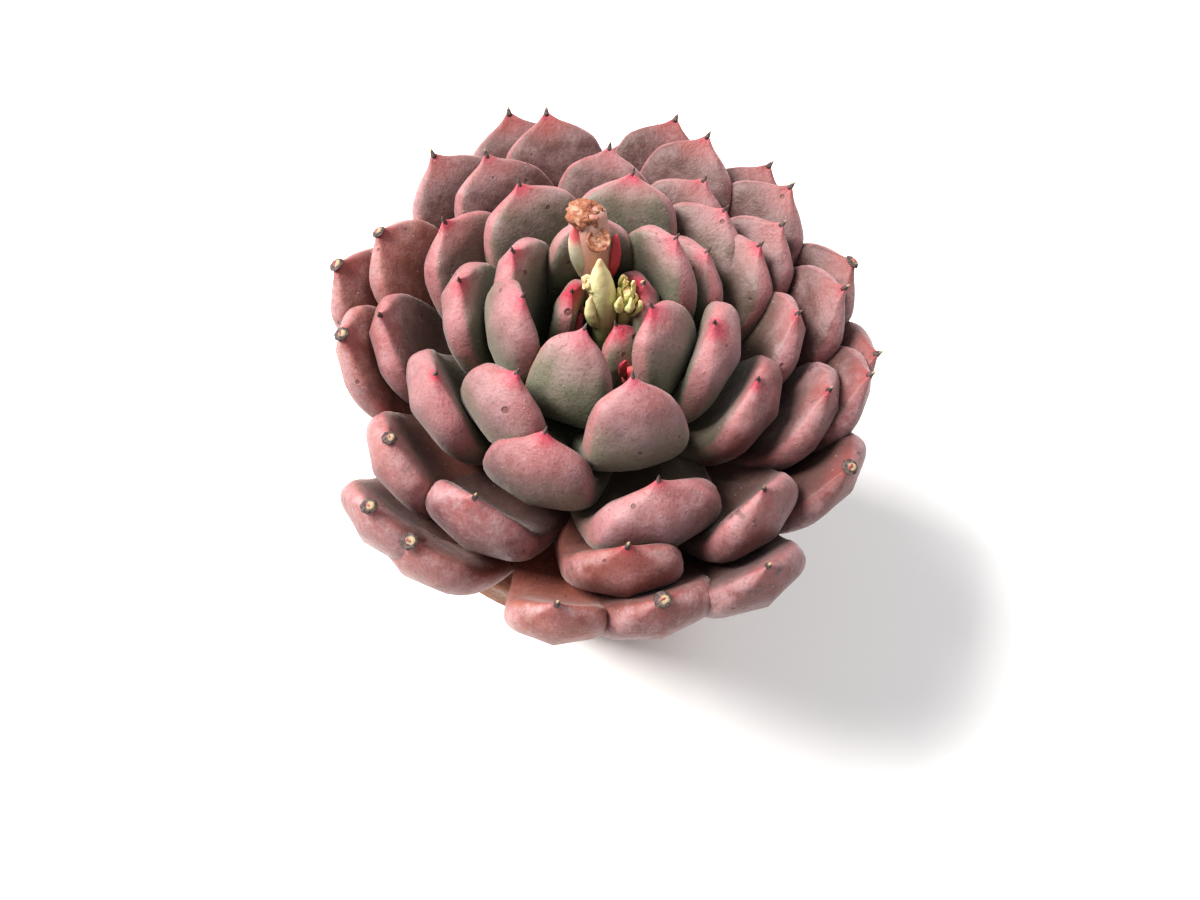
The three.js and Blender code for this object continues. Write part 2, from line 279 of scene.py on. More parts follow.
class Finish:
    """What every finish shares: a material with a shader whose constants are set once."""

    def material(self, name: str, constants: dict[str, object]) -> tuple[Material, Paint]:
        """A new material.

        Args:
            name: The material's name.
            constants: Numbers and colours for the shader's own inputs.

        Returns:
            The material, and its paint.
        """
        material = bpy.data.materials.new(name)
        material.use_nodes = True
        paint = Paint(material.node_tree)
        for socket, value in constants.items():
            paint.feed(paint.shader.inputs[socket], value)
        return material, paint


class Recipe:
    """A Geometry Nodes tree with named sizes, which is worked once into a plain mesh."""

    def __init__(self, name: str) -> None:
        """Starts a tree with its geometry coming in.

        Args:
            name: The tree's name.
        """
        self.tree = bpy.data.node_groups.new(name, "GeometryNodeTree")
        self.bench = Bench(self.tree)
        self.given: dict[str, object] = {}
        for way in ("INPUT", "OUTPUT"):
            self.tree.interface.new_socket("Geometry", in_out=way, socket_type="NodeSocketGeometry")
        self.entry = self.tree.nodes.new("NodeGroupInput")
        self.exit = self.tree.nodes.new("NodeGroupOutput")

    @property
    def geometry(self) -> Value:
        """The geometry that comes in."""
        return Value(self.bench, self.entry.outputs[0])

    def points(self) -> Value:
        """The points of the geometry that comes in."""
        return self.bench.node("GeometryNodeMeshToPoints", None, {"Mesh": self.geometry})

    def move(self, geometry: Value, place: Value) -> Value:
        """Moves each point of a geometry to a place of its own."""
        sockets = {"Geometry": geometry, "Position": place}
        return self.bench.node("GeometryNodeSetPosition", None, sockets)

    def shift(self, geometry: Value, offset: Value) -> Value:
        """Moves each point of a geometry by an offset of its own."""
        sockets = {"Geometry": geometry, "Offset": offset}
        return self.bench.node("GeometryNodeSetPosition", None, sockets)

    def size(self, name: str, value: float) -> Value:
        """A named number that comes in."""
        return self._input(name, "NodeSocketFloat", value)

    def shape(self, name: str, piece: Piece) -> Value:
        """A named object that comes in, as its geometry."""
        chosen = self._input(name, "NodeSocketObject", piece)
        return self.bench.node("GeometryNodeObjectInfo", None, {"Object": chosen}, "Geometry")

    def _input(self, name: str, kind: str, value: object) -> Value:
        """Adds one named input and notes its value by the socket's identifier."""
        socket = self.tree.interface.new_socket(name, in_out="INPUT", socket_type=kind)
        self.given[socket.identifier] = value
        return Value(self.bench, self.entry.outputs[name])

    def field(self, name: str) -> Value:
        """A named number that the geometry keeps for each point."""
        return self._named(name, "FLOAT")

    def vector_field(self, name: str) -> Value:
        """A named vector that the geometry keeps for each point."""
        return self._named(name, "FLOAT_VECTOR")

    def _named(self, name: str, kind: str) -> Value:
        """A named attribute of the geometry at hand."""
        return self.bench.node("GeometryNodeInputNamedAttribute", {"data_type": kind}, {"Name": name})

    def store(self, geometry: Value, name: str, value: Value, kind: str = "FLOAT") -> Value:
        """Keeps a value on the geometry's points under a name."""
        sockets = {"Geometry": geometry, "Name": name, "Value": value}
        return self.bench.node("GeometryNodeStoreNamedAttribute", {"data_type": kind}, sockets)

    def place(
        self, points: Value, shape: Value, turn: Value | None = None, scale: Value | None = None
    ) -> Value:
        """Sets a shape on each point.

        Args:
            points: Where the shapes go.
            shape: What is set there.
            turn: The rotation of each.
            scale: The scale of each.

        Returns:
            The real shapes.
        """
        sockets = {"Points": points, "Instance": shape, "Rotation": turn, "Scale": scale}
        sockets = {name: value for name, value in sockets.items() if value is not None}
        placed = self.bench.node("GeometryNodeInstanceOnPoints", None, sockets)
        return self.bench.node("GeometryNodeRealizeInstances", None, {"Geometry": placed})

    def end(self, geometry: Value, material: Material) -> None:
        """Ends the tree in real geometry of one material.

        Args:
            geometry: What the tree has made.
            material: The material that it gets.
        """
        real = self.bench.node("GeometryNodeRealizeInstances", None, {"Geometry": geometry})
        sockets = {"Geometry": real, "Material": material}
        dressed = self.bench.node("GeometryNodeSetMaterial", None, sockets)
        self.bench.feed(self.exit.inputs[0], dressed)

    def work(self, base: Piece) -> Mesh:
        """Works the tree on a base object, which is used up.

        Args:
            base: The object that the geometry comes from.

        Returns:
            The plain mesh.
        """
        modifier = base.modifiers.new(self.tree.name, "NODES")
        modifier.node_group = self.tree
        for identifier, value in self.given.items():
            modifier[identifier] = value
        evaluated = base.evaluated_get(bpy.context.evaluated_depsgraph_get())
        mesh = bpy.data.meshes.new_from_object(evaluated)
        base.modifiers.remove(modifier)
        bpy.data.objects.remove(base)
        return mesh


# Shapes in mesh code


def new_object(name: str, mesh: Mesh) -> Piece:
    """An object at the origin that shows a mesh."""
    piece = bpy.data.objects.new(name, mesh)
    bpy.context.scene.collection.objects.link(piece)
    return piece


def mesh_of(name: str, points: np.ndarray, faces: list, fields: Fields | None = None) -> Mesh:
    """A mesh with attributes on its points.

    Args:
        name: The mesh's name.
        points: Its points, in metres.
        faces: Its faces, as lists of point numbers.
        fields: Numbers or vectors for each point, by name.

    Returns:
        The mesh, shaded smooth.
    """
    mesh = bpy.data.meshes.new(name)
    mesh.from_pydata([tuple(p) for p in points], [], faces)
    for key, values in (fields or {}).items():
        keep_field(mesh, key, values)
    mesh.shade_smooth()
    return mesh


def keep_field(mesh: Mesh, name: str, values: np.ndarray) -> None:
    """Keeps a number or a vector for each point of a mesh under a name."""
    values = np.asarray(values, np.float32)
    kind, key = ("FLOAT", "value") if values.ndim == 1 else ("FLOAT_VECTOR", "vector")
    mesh.attributes.new(name, kind, "POINT").data.foreach_set(key, values.ravel())


@dataclass
class Skin:
    """A closed skin of rings between two poles, whose points are worked out from their places."""

    rows: Sequence[float]
    sides: int

    def spots(self) -> np.ndarray:
        """Each point's place: along, then the cosine and sine of its way round.

        Returns:
            A row for each point.
        """
        spots = [(self.rows[0], 0.0, 0.0)]
        for along in self.rows[1:-1]:
            for side in range(self.sides):
                angle = 2 * math.pi * side / self.sides
                spots.append((along, math.cos(angle), math.sin(angle)))
        spots.append((self.rows[-1], 0.0, 0.0))
        return np.array(spots)

    def faces(self) -> list[list[int]]:
        """The faces between the rings and at the poles.

        Returns:
            The faces, as lists of point numbers.
        """
        rings = len(self.rows) - 2
        last = rings * self.sides + 1
        faces = []
        for side in range(self.sides):
            after = (side + 1) % self.sides
            faces.append([0, 1 + after, 1 + side])
            faces.append([last, last - self.sides + side, last - self.sides + after])
            for ring in range(rings - 1):
                low = 1 + ring * self.sides
                high = low + self.sides
                faces.append([low + side, low + after, high + after, high + side])
        return faces


def points_of(mesh: Mesh) -> np.ndarray:
    """A mesh's points as rows of three."""
    points = np.zeros(len(mesh.vertices) * 3, np.float32)
    mesh.vertices.foreach_get("co", points)
    return points.reshape(-1, 3).astype(float)


def move_points(mesh: Mesh, points: np.ndarray) -> None:
    """Gives a mesh's points new places."""
    mesh.vertices.foreach_set("co", points.astype(np.float32).ravel())


def ball_of(skin: Skin, sizes: Place) -> np.ndarray:
    """The points of a closed skin as a ball or an ellipsoid.

    Args:
        skin: The skin, whose way along runs from pole to pole.
        sizes: Half its size across, deep and tall.

    Returns:
        The points.
    """
    spots = skin.spots()
    angle = spots[:, 0] * math.pi
    unit = np.stack([spots[:, 1] * np.sin(angle), spots[:, 2] * np.sin(angle), np.cos(angle)], 1)
    return unit * np.array(sizes)


def spline(stops: Sequence[tuple], places: np.ndarray) -> np.ndarray:
    """A smooth line through stops that never overshoots them.

    Args:
        stops: Rows of a place and then any values there.
        places: Where the values are wanted.

    Returns:
        The values at the places, a column for each.
    """
    table = np.array(stops, float)
    x, y = table[:, 0], table[:, 1:]
    step = np.diff(x)[:, None]
    slope = np.diff(y, axis=0) / step
    lean = np.zeros_like(y)
    lean[0], lean[-1] = slope[0], slope[-1]
    before, after = slope[:-1], slope[1:]
    total = before + after
    safe = np.where(np.abs(total) < 1e-12, 1, total)
    lean[1:-1] = np.where(before * after > 0, 2 * before * after / safe, 0)
    at = np.clip(np.searchsorted(x, places, side="right") - 1, 0, len(x) - 2)
    t = ((places - x[at]) / (x[at + 1] - x[at]))[:, None]
    wide = step[at]
    return (
        (2 * t**3 - 3 * t**2 + 1) * y[at]
        + (t**3 - 2 * t**2 + t) * wide * lean[at]
        + (3 * t**2 - 2 * t**3) * y[at + 1]
        + (t**3 - t**2) * wide * lean[at + 1]
    )


def close_outwards(mesh: Mesh) -> Mesh:
    """Turns all of a closed mesh's faces outwards.

    Args:
        mesh: The mesh.

    Returns:
        The same mesh.
    """
    work = bmesh.new()
    work.from_mesh(mesh)
    bmesh.ops.recalc_face_normals(work, faces=work.faces)
    work.to_mesh(mesh)
    work.free()
    return mesh


def turned(name: str, outline: Outline, sides: int) -> Mesh:
    """A closed turned piece.

    Args:
        name: The mesh's name.
        outline: Radius and height of each point of half its section, from pole to pole.
        sides: Points round each ring.

    Returns:
        The mesh.
    """
    skin = Skin(np.arange(len(outline)) / (len(outline) - 1), sides)
    points = []
    for along, level, third in skin.spots():
        radius, height = outline[round(along * (len(outline) - 1))]
        points.append((radius * level, radius * third, height))
    return close_outwards(mesh_of(name, np.array(points), skin.faces()))


@dataclass(frozen=True)
class Sky:
    """Rays towards the sky, which tell how open to it each point of a mesh is.

    The rays follow the golden angle from overhead down to a low tilt. A ray that meets the mesh
    within its reach is shaded, and one that only grazes the surface still counts a little.
    """

    count: int = 12
    evenness: float = 14
    turn: float = 2.399963
    reach: float = 30 * MM
    clearance: float = 0.2 * MM
    grazing: float = 0.35
    fullness: float = 0.95

    def rays(self) -> list[Vector]:
        """Spreads the rays.

        Returns:
            The directions, overhead first.
        """
        rays = []
        for number in range(self.count):
            tilt = math.asin(math.sqrt((number + 0.5) / self.evenness))
            way = number * self.turn
            out = math.sin(tilt)
            rays.append(Vector((out * math.cos(way), out * math.sin(way), math.cos(tilt))))
        return rays

    def openness(self, mesh: Mesh) -> np.ndarray:
        """How open to the sky each point of a mesh is.

        Args:
            mesh: The mesh, which shades itself.

        Returns:
            A number from 0 to 1 for each point.
        """
        tree = BVHTree.FromPolygons([v.co for v in mesh.vertices], [p.vertices for p in mesh.polygons])
        rays = self.rays()
        light = np.zeros(len(mesh.vertices))
        for vertex in mesh.vertices:
            start = vertex.co + vertex.normal * self.clearance
            for ray in rays:
                if tree.ray_cast(start, ray, self.reach)[0] is None:
                    light[vertex.index] += max(0.0, self.grazing + vertex.normal.dot(ray))
        return np.clip(light / (self.count * self.fullness), 0, 1)


def dress(piece: Piece, slot: str, *nodes: str) -> None:
    """Makes a finished piece ride and stand for its solids.

    Args:
        piece: The piece.
        slot: The record's material slot, which is not used.
        nodes: The solids that it stands for.
    """
    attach(piece, "root")
    if nodes:
        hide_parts(*nodes)
    LOG.info("%s: %d points", piece.name, len(piece.data.vertices))


# The rosette


class LeafPaint(Paint):
    """A leaf's paint, which knows the spot's place, its leaf's facts and soft noises."""

    def __init__(self, tree: bpy.types.NodeTree) -> None:
        """Reads everything once.

        Args:
            tree: The material's tree.
        """
        super().__init__(tree)
        place = self.place()
        self.along, across, self.facing = self.parts(self.named("spot", "Vector"))
        self.age, self.chance, _ = self.parts(self.named("kind", "Vector"))
        self.rubbed, self.ruddy, self.blush = self.parts(self.named("wear", "Vector"))
        self.tipward = self.named("tipward")
        self.side = self.math("ABSOLUTE", across)
        self.own = place + self.vector(self.chance, self.chance * 2, self.chance * 3)
        self.patches = self.noise(self.own, 130, 4, 0.6)
        self.cloud = self.noise(self.own, 320, 5, 0.65)
        self.dust = self.noise(self.own, 1000, 6, 0.8)
        self.inner = self.smooth(self.facing + (self.cloud - 0.5) * 0.2, 0.0, 0.6)
        # How open the spot is to the sky, which drives painted shade and painted light below as well as
        # real blush.
        self.sun = self.named("sun") + (self.cloud - 0.5) * 0.12
        scuffs = self.noise(self.own, 160, 3, 0.5)
        self.worn = self.smooth(scuffs + self.rubbed * 0.35, 0.62, 0.72) * self.rubbed


@dataclass(frozen=True)
class LeafFinish(Finish):
    """Fleshy leaves: rose over grey-green, under a powdery bloom, with crimson below the tips, painted
    shade in the hollows and painted light where open to the sky.
    """

    rose: Tone = (0.228, 0.11, 0.111)
    mauve: Tone = (0.165, 0.097, 0.114)
    lilac: Tone = (0.33, 0.235, 0.25)
    warm: Tone = (0.27, 0.104, 0.102)
    olive: Tone = (0.085, 0.044, 0.037)
    green: Tone = (0.195, 0.2, 0.142)
    deep_green: Tone = (0.12, 0.135, 0.092)
    umber: Tone = (0.1, 0.058, 0.05)
    brown: Tone = (0.14, 0.048, 0.042)
    maroon: Tone = (0.085, 0.027, 0.029)
    clay: Tone = (0.33, 0.1, 0.066)
    pink: Tone = (0.42, 0.155, 0.162)
    crimson: Tone = (0.43, 0.034, 0.072)
    rust: Tone = (0.25, 0.062, 0.052)
    bloom: Tone = (0.42, 0.29, 0.298)
    dark: Tone = (0.07, 0.035, 0.035)
    relief: float = 0.22 * MM

    def make(self) -> Material:
        """Makes the material of the leaves.

        Returns:
            The material.
        """
        constants = {
            "Specular IOR Level": 0.35,
            "Sheen Weight": 0.24,
            "Sheen Roughness": 0.4,
            "Sheen Tint": (0.9, 0.8, 0.8),
            "Subsurface Weight": 0.1,
            "Subsurface Radius": (1.0, 0.35, 0.25),
            "Subsurface Scale": 1.2 * MM,
        }
        material, paint = self.material("powdery_leaf", constants)
        leaf = LeafPaint(paint.tree)
        tint = leaf.smooth(leaf.patches + (leaf.chance - 0.5) * 0.3, 0.35, 0.65)
        leaf.colour = leaf.blend(tint, self.rose, self.mauve)
        self._lay_skin(leaf)
        self._lay_faces(leaf)
        self._lay_tip(leaf)
        self._lay_powder(leaf)
        relief = self._lay_marks(leaf)
        leaf.surface(leaf.smooth(leaf.cloud, 0.2, 0.8, 0.42, 0.62), relief, self.relief)
        return material

    def _lay_skin(self, leaf: LeafPaint) -> None:
        """Lays the leaf's colour, browner with age and green low down and in the heart, and painted
        shade where the rosette shuts out the sky.

        Args:
            leaf: The leaf's paint so far.
        """
        ageing = leaf.smooth(leaf.age, 0.35, 0.9, 0, 0.95)
        leaf.lay(ageing * leaf.smooth(leaf.cloud, 0.25, 0.6, 0.4, 1), self.brown)
        leaf.lay(leaf.smooth(leaf.chance, 0.35, 1.0, 0, 0.4), self.brown)
        leaf.lay(leaf.smooth(leaf.age, 0.4, 0.8, 0, 0.6), self.maroon)
        leaf.lay(leaf.smooth(leaf.chance, 0.5, 0.0, 0, 0.45), self.lilac)
        # Painted shade where the rosette shuts out the sky: darker umber on old leaves, darker green on
        # young ones; the greening is the shaded leaf's own colour, the darkening is painted shade.
        deep = leaf.blend(leaf.smooth(leaf.age, 0.75, 0.15), self.umber, self.deep_green)
        leaf.lay(leaf.smooth(leaf.sun, 0.5, 0.1) * 0.85, deep)
        base = leaf.smooth(leaf.along + (leaf.patches - 0.5) * 0.2, 0.9, 0.68)
        leaf.lay(base * leaf.smooth(leaf.age, 0.6, 0.2) * 0.85, self.green)
        tender = leaf.smooth(leaf.age, 0.16, 0.04, 0, 0.8)
        leaf.lay(tender * leaf.smooth(leaf.along, 1.0, 0.86), self.green)
        rise = leaf.smooth(leaf.along + (leaf.patches - 0.5) * 0.12, 0.8, 0.96)
        rise = rise * leaf.smooth(leaf.sun, 0.15, 0.7)
        leaf.lay(rise * leaf.smooth(leaf.age, 0.9, 0.4, 0.15, 0.8), self.warm)

    def _lay_faces(self, leaf: LeafPaint) -> None:
        """Lays the darker inner face, partly painted shade, the pink margin, the scuffs and the ruddy
        leaves' colour.

        Args:
            leaf: The leaf's paint so far.
        """
        # The inner face below the tip, darker olive on old leaves and darker green on young ones: partly
        # the inner face's own colour, partly painted shade of the hollow rosette.
        hollow = leaf.inner * leaf.smooth(leaf.along + (leaf.cloud - 0.5) * 0.06, 0.99, 0.87)
        dim = leaf.blend(leaf.smooth(leaf.age, 0.5, 0.15), self.olive, self.deep_green)
        leaf.lay(hollow * 0.85, dim)
        edge = leaf.smooth(leaf.side, 0.86, 0.99) * leaf.smooth(leaf.along, 0.4, 0.75)
        edge = edge * leaf.smooth(leaf.cloud, 0.2, 0.5) * leaf.smooth(leaf.sun, 0.1, 0.4)
        leaf.lay(edge * leaf.smooth(leaf.age, 1, 0.5, 0.2, 0.62), self.pink)
        leaf.lay(leaf.worn * leaf.smooth(leaf.facing, 0.2, -0.2), self.brown)
        leaf.lay(leaf.ruddy * leaf.smooth(leaf.cloud, 0.2, 0.6, 0.55, 1), self.clay)

    def _lay_tip(self, leaf: LeafPaint) -> None:
        """Lays the pink shoulder, partly painted highlight, and pink, rust and crimson round the tip.

        Args:
            leaf: The leaf's paint so far.
        """
        # Paler pink on the upper back where it is open to the sky: partly the leaf's own blush, partly
        # painted highlight.
        shoulder = leaf.smooth(leaf.along, 0.72, 0.92) * leaf.smooth(leaf.facing, 0.1, -0.4)
        shoulder = shoulder * leaf.smooth(leaf.sun, 0.3, 0.8)
        leaf.lay(shoulder * leaf.smooth(leaf.cloud, 0.3, 0.7) * 0.3, self.pink)
        warmth = leaf.smooth(leaf.tipward + leaf.cloud * 3 * MM, 7 * MM, 2 * MM)
        leaf.lay(warmth * leaf.blush * 0.55, self.pink)
        smudge = leaf.smooth(leaf.tipward + leaf.cloud * 5 * MM, 8 * MM, 3 * MM)
        leaf.lay(smudge * leaf.smooth(leaf.age, 0.3, 0.6) * 0.72, self.rust)
        near = leaf.smooth(leaf.age, 0.0, 0.5, 4.6, 3.0) * MM
        glow = leaf.smooth((leaf.tipward + leaf.cloud * 2.2 * MM) / near, 1.0, 0.4)
        leaf.lay(glow * leaf.blush, self.crimson)

    def _lay_powder(self, leaf: LeafPaint) -> None:
        """Lays the bloom over stains: a pale haze where the sky is open, partly painted light, fine
        powder and a pale rim, partly painted sheen.

        Args:
            leaf: The leaf's paint so far.
        """
        # Partly painted light: the pale bloom is laid thickest where the leaf is open to the sky, which
        # paints the light there, over the leaf's real bloom.
        bloom_and_painted_light = leaf.smooth(leaf.sun, 0.3, 0.85) * leaf.smooth(leaf.cloud + leaf.patches, 0.8, 1.25)
        leaf.lay(bloom_and_painted_light * leaf.smooth(leaf.age, 0.4, 0.9, 0.36, 0.12), self.bloom)
        stain = leaf.smooth(leaf.noise(leaf.own, 260, 6, 0.75), 0.55, 0.64)
        stain = stain * leaf.smooth(leaf.age, 0.15, 0.5)
        leaf.lay(stain * (leaf.rubbed * 0.5 + 0.28), self.dark)
        powder = leaf.smooth(leaf.dust, 0.47, 0.6) * leaf.smooth(leaf.cloud, 0.3, 0.7)
        powder = powder * leaf.smooth(leaf.age, 0.2, 0.8, 0.15, 0.55)
        powder = powder * leaf.smooth(leaf.sun, 0.0, 0.5)
        leaf.lay(powder * (1 - leaf.worn) * (1 - leaf.inner * 0.6), self.bloom)
        # A pale rim towards the margins of the outer back: partly powder gathered there, partly a
        # painted sheen of margins seen edge-on.
        rim = leaf.smooth(leaf.side, 0.55, 0.95) * leaf.smooth(leaf.cloud, 0.3, 0.6)
        rim = rim * leaf.smooth(leaf.age, 0.3, 0.7)
        leaf.lay(rim * leaf.smooth(leaf.facing, 0.3, -0.1, 0, 0.4), self.bloom)

    def _lay_marks(self, leaf: LeafPaint) -> Value:
        """Lays pores, specks, ringed pits and crumbs.

        Args:
            leaf: The leaf's paint so far.

        Returns:
            The relief that goes with the marks.
        """
        leaf.lay(leaf.smooth(leaf.noise(leaf.own, 2400, 3, 0.6), 0.44, 0.36) * 0.35, self.brown)
        specks = leaf.spots(leaf.own, 700, 0.24, 0.05)
        leaf.lay(specks * 0.6, self.dark)
        pitted = leaf.own + (0.7, 0.2, 0.1)
        pits = leaf.spots(pitted, 230, 0.14, 0.12)
        leaf.lay(pits * 0.7, self.brown)
        leaf.lay(leaf.spots(pitted, 230, 0.14, 0.05) * 0.6, self.bloom)
        crumbs = leaf.spots(leaf.own + (0.3, 0.1, 0.7), 1300, 0.22, 0.07)
        leaf.lay(crumbs * 0.5, self.bloom)
        grain = leaf.noise(leaf.own, 2600, 4, 0.6)
        waves = leaf.noise(leaf.own, 420, 3, 0.5)
        return grain * 0.4 + waves - specks * 0.5 - pits * 0.8 + crumbs * 0.4


@dataclass(frozen=True)
class SpineFinish(Finish):
    """The dried points of the leaves: dark grey-brown, paler at the very end."""

    dark: Tone = (0.055, 0.034, 0.034)
    grey: Tone = (0.15, 0.115, 0.105)
    straw: Tone = (0.4, 0.31, 0.19)

    def make(self) -> Material:
        """Makes the material of the spines and stubs.

        Returns:
            The material.
        """
        material, paint = self.material("dried_point", {"Specular IOR Level": 0.3})
        place = paint.place()
        along, _, _ = paint.parts(paint.named("spot", "Vector"))
        pale = paint.named("pale")
        grain = paint.noise(place, 2200, 4, 0.7)
        paint.colour = paint.blend(paint.smooth(grain, 0.35, 0.65), self.dark, self.grey)
        end = paint.smooth(along + (grain - 0.5) * 0.5, 0.6, 0.8)
        end = end * paint.smooth(pale + grain * 0.3, 0.3, 0.6)
        paint.lay(end, self.straw)
        paint.surface(0.75, grain, 0.2 * MM)
        return material


@dataclass
class Rosette:
    """The leaves, by the golden-angle rule of the solids, and their dried points.

    A leaf's step counts outwards from the heart, and its age runs from 0 there to 1 on the lowest
    leaf. The form's rows give a place along the leaf, its width and thickness there, and the
    width of a young leaf. A leaf that is astray is turned by some degrees, lies further out by
    some millimetres, and may have a breadth of its own.
    """

    leaf_count: int = 61
    first_azimuth: float = 78.0
    divergence: float = DIVERGENCE
    crowding: float = 7.5
    crowded_side: float = 41.0
    radius: float = 36 * MM
    heart_radius: float = 1.4 * MM
    spread_power: float = 2.2
    heart_rise: float = 8 * MM
    heart_rise_leaf: float = 6.5
    outer_drop: float = 5 * MM
    stem_top: float = TIP_LEVEL - 13 * MM
    lowest_leaf: float = TIP_LEVEL - 23.5 * MM
    heart_leaf_width: float = 5.5 * MM
    leaf_width: float = 14.5 * MM
    outer_extra_width: float = 1.5 * MM
    widening_leaves: float = 5
    thickness_to_width: float = 0.43
    inner_share: float = 0.56
    margin_lift: float = 0.06
    dish: float = 0.08
    start_angle: float = 0.0
    heart_start_angle: float = 35.0
    tip_angle: float = 69.0
    heart_tip_angle: float = 100.0
    tip_angle_power: float = 1.6
    leaning: float = 26.0
    young_leaning: float = 18.0
    leaning_handle: float = 0.2
    root_handle: float = 0.45
    tip_handle: float = 0.5
    uneven_width: float = 0.05
    uneven_twist: float = 5.0
    uneven_blush: float = 0.15
    uneven_wear: float = 0.25
    young_blush: float = 1.05
    blush_fading: float = 0.75
    lean: float = 0.022
    keel: float = 0.12
    undulation: float = 0.45 * MM
    undulation_scale: float = 95.0
    margin_power: float = 0.7
    pointed_power: float = 1.6
    sides: int = 28
    line_steps: int = 64
    spine_width: float = 0.85
    spine_height: float = 0.95
    spine_depth: float = 0.7 * MM
    spine_length: float = 1.9 * MM
    spine_bend: float = 0.25 * MM
    young_spine: float = 0.62
    stub_breadth: float = 1.25
    stub_drop: float = 0.5
    pale_drop: float = 0.3
    spine_sides: int = 8
    spine_profile: tuple = (
        (0, 0), (0.02, 0.55), (0.2, 0.52), (0.4, 0.43), (0.6, 0.32), (0.8, 0.2), (0.95, 0.09),
        (1, 0),
    )
    seed: int = 20
    form: tuple = (
        (0, 0, 0, 0), (0.04, 0.7, 0.55, 0.7), (0.28, 1.04, 0.85, 1.04), (0.5, 1.05, 0.97, 1.03),
        (0.7, 1.01, 1, 0.97), (0.81, 0.95, 0.95, 0.85), (0.88, 0.82, 0.78, 0.67),
        (0.93, 0.52, 0.46, 0.42), (0.965, 0.2, 0.22, 0.15), (1, 0, 0, 0),
    )
    shed: tuple = (14, 25, 30, 35, 40, 54, 57)
    squeezed_in: tuple = ((60, 24.5), (30, 21.5))
    astray: dict = field(
        default_factory=lambda: {
            0: (105, 1), 1: (10, 0), 5: (-4, 2.5), 6: (0, -2), 8: (-10, 0), 9: (6, 1),
            10: (20, -1), 11: (-12, 0), 13: (0, 3), 16: (8, -3), 17: (-9, -1), 18: (8, 1),
            21: (-10, 0), 22: (0, 0, 1.18), 27: (-4, 3), 34: (0, 2), 38: (-6, -4), 39: (6, 1),
            41: (-6, -1), 43: (2, -4), 46: (0, 2), 48: (0, 2), 51: (9, 1, 0.85), 52: (4, 1),
            60: (-5, -1),
        }
    )
    stubbed: tuple = (33, 36, 41, 46, 49, 50, 53, 56, 59)
    rubbed: dict = field(
        default_factory=lambda: {
            19: 1, 27: 0.9, 32: 0.8, 43: 0.8, 48: 0.8, 53: 0.9, 58: 0.6,
        }
    )
    ruddy: dict = field(
        default_factory=lambda: {
            33: 0.3, 36: 0.5, 41: 0.45, 43: 0.35, 46: 0.3, 49: 0.3, 51: 0.7, 56: 0.25, 59: 0.5,
        }
    )

    def table(self) -> Fields:
        """One row of facts for each leaf, as fields by name.

        Returns:
            The fields.
        """
        draws = Draws(self.seed)
        steps = [step for step in range(self.leaf_count) if step not in self.shed]
        rows = []
        for step in steps + [step for _, step in self.squeezed_in]:
            turn, out, *given = self.astray.get(step, (0, 0))
            breadth = given[0] if given else 1 + self.uneven_width * draws.next()
            rows.append([step, turn, out * MM, breadth, draws.next()])
        for row, (azimuth, step) in zip(rows[len(steps) :], self.squeezed_in):
            even = self.first_azimuth - self.divergence * step
            crowded = self.crowding * math.cos((even - self.crowded_side) * DEGREE)
            row[1] = azimuth - even + crowded
        step, turn, out, breadth, twist = np.array(rows).T
        count = len(rows)
        age = step / (self.leaf_count - 1)
        looks = np.random.default_rng(self.seed)
        chance = looks.random(count)
        uneven = looks.uniform(-self.uneven_blush, self.uneven_blush, count)
        blush = np.clip(self.young_blush - self.blush_fading * age + uneven, 0, 1)
        rubbed = np.array([self.rubbed.get(each, 0) for each in step])
        rubbed = rubbed + looks.uniform(0, self.uneven_wear, count) * age
        ruddy = np.array([self.ruddy.get(each, 0) for each in step])
        return {
            "step": step,
            "turn": turn,
            "out": out,
            "breadth": breadth,
            "twist": twist,
            "lean": looks.uniform(-1, 1, count),
            "kind": np.stack([age, chance, step], 1),
            "wear": np.stack([rubbed, ruddy, blush], 1),
            "leaf": np.arange(count, dtype=float),
        }

    def skin(self) -> Skin:
        """The rings of one leaf, closer together towards its tip.

        Returns:
            The skin.
        """
        close = 0.86
        low = np.linspace(0, close, 27)
        high = np.linspace(close, 1, 15)[1:]
        return Skin(np.concatenate([low, high]), self.sides)

    def pattern_leaf(self) -> Piece:
        """The leaf that is set at each place, still flat, with its form kept at each point.

        Returns:
            The leaf.
        """
        skin = self.skin()
        spots = skin.spots()
        form = spline(self.form, spots[:, 0])
        fields = {"spot": spots, "wide": form[:, 0], "thick": form[:, 1], "young wide": form[:, 2]}
        mesh = mesh_of("pattern_leaf", spots * MM, skin.faces(), fields)
        return new_object("pattern_leaf", mesh)

    def recipe(self, finish: Material, pattern: Piece) -> Recipe:
        """The tree that sets every leaf at its place in the spiral and bends it to its line.

        Args:
            finish: The material of the leaves.
            pattern: The flat leaf that is set at each place.

        Returns:
            The tree.
        """
        recipe = Recipe("golden_angle_leaves")
        leaves = self._spiral(recipe)
        lines = self._lines(recipe, leaves)
        skins = recipe.place(leaves, recipe.shape("Pattern leaf", pattern))
        shaped = self._bend(recipe, skins, lines)
        shaped = self._swell(recipe, shaped)
        recipe.end(self._measure_tip(recipe, shaped), finish)
        return recipe

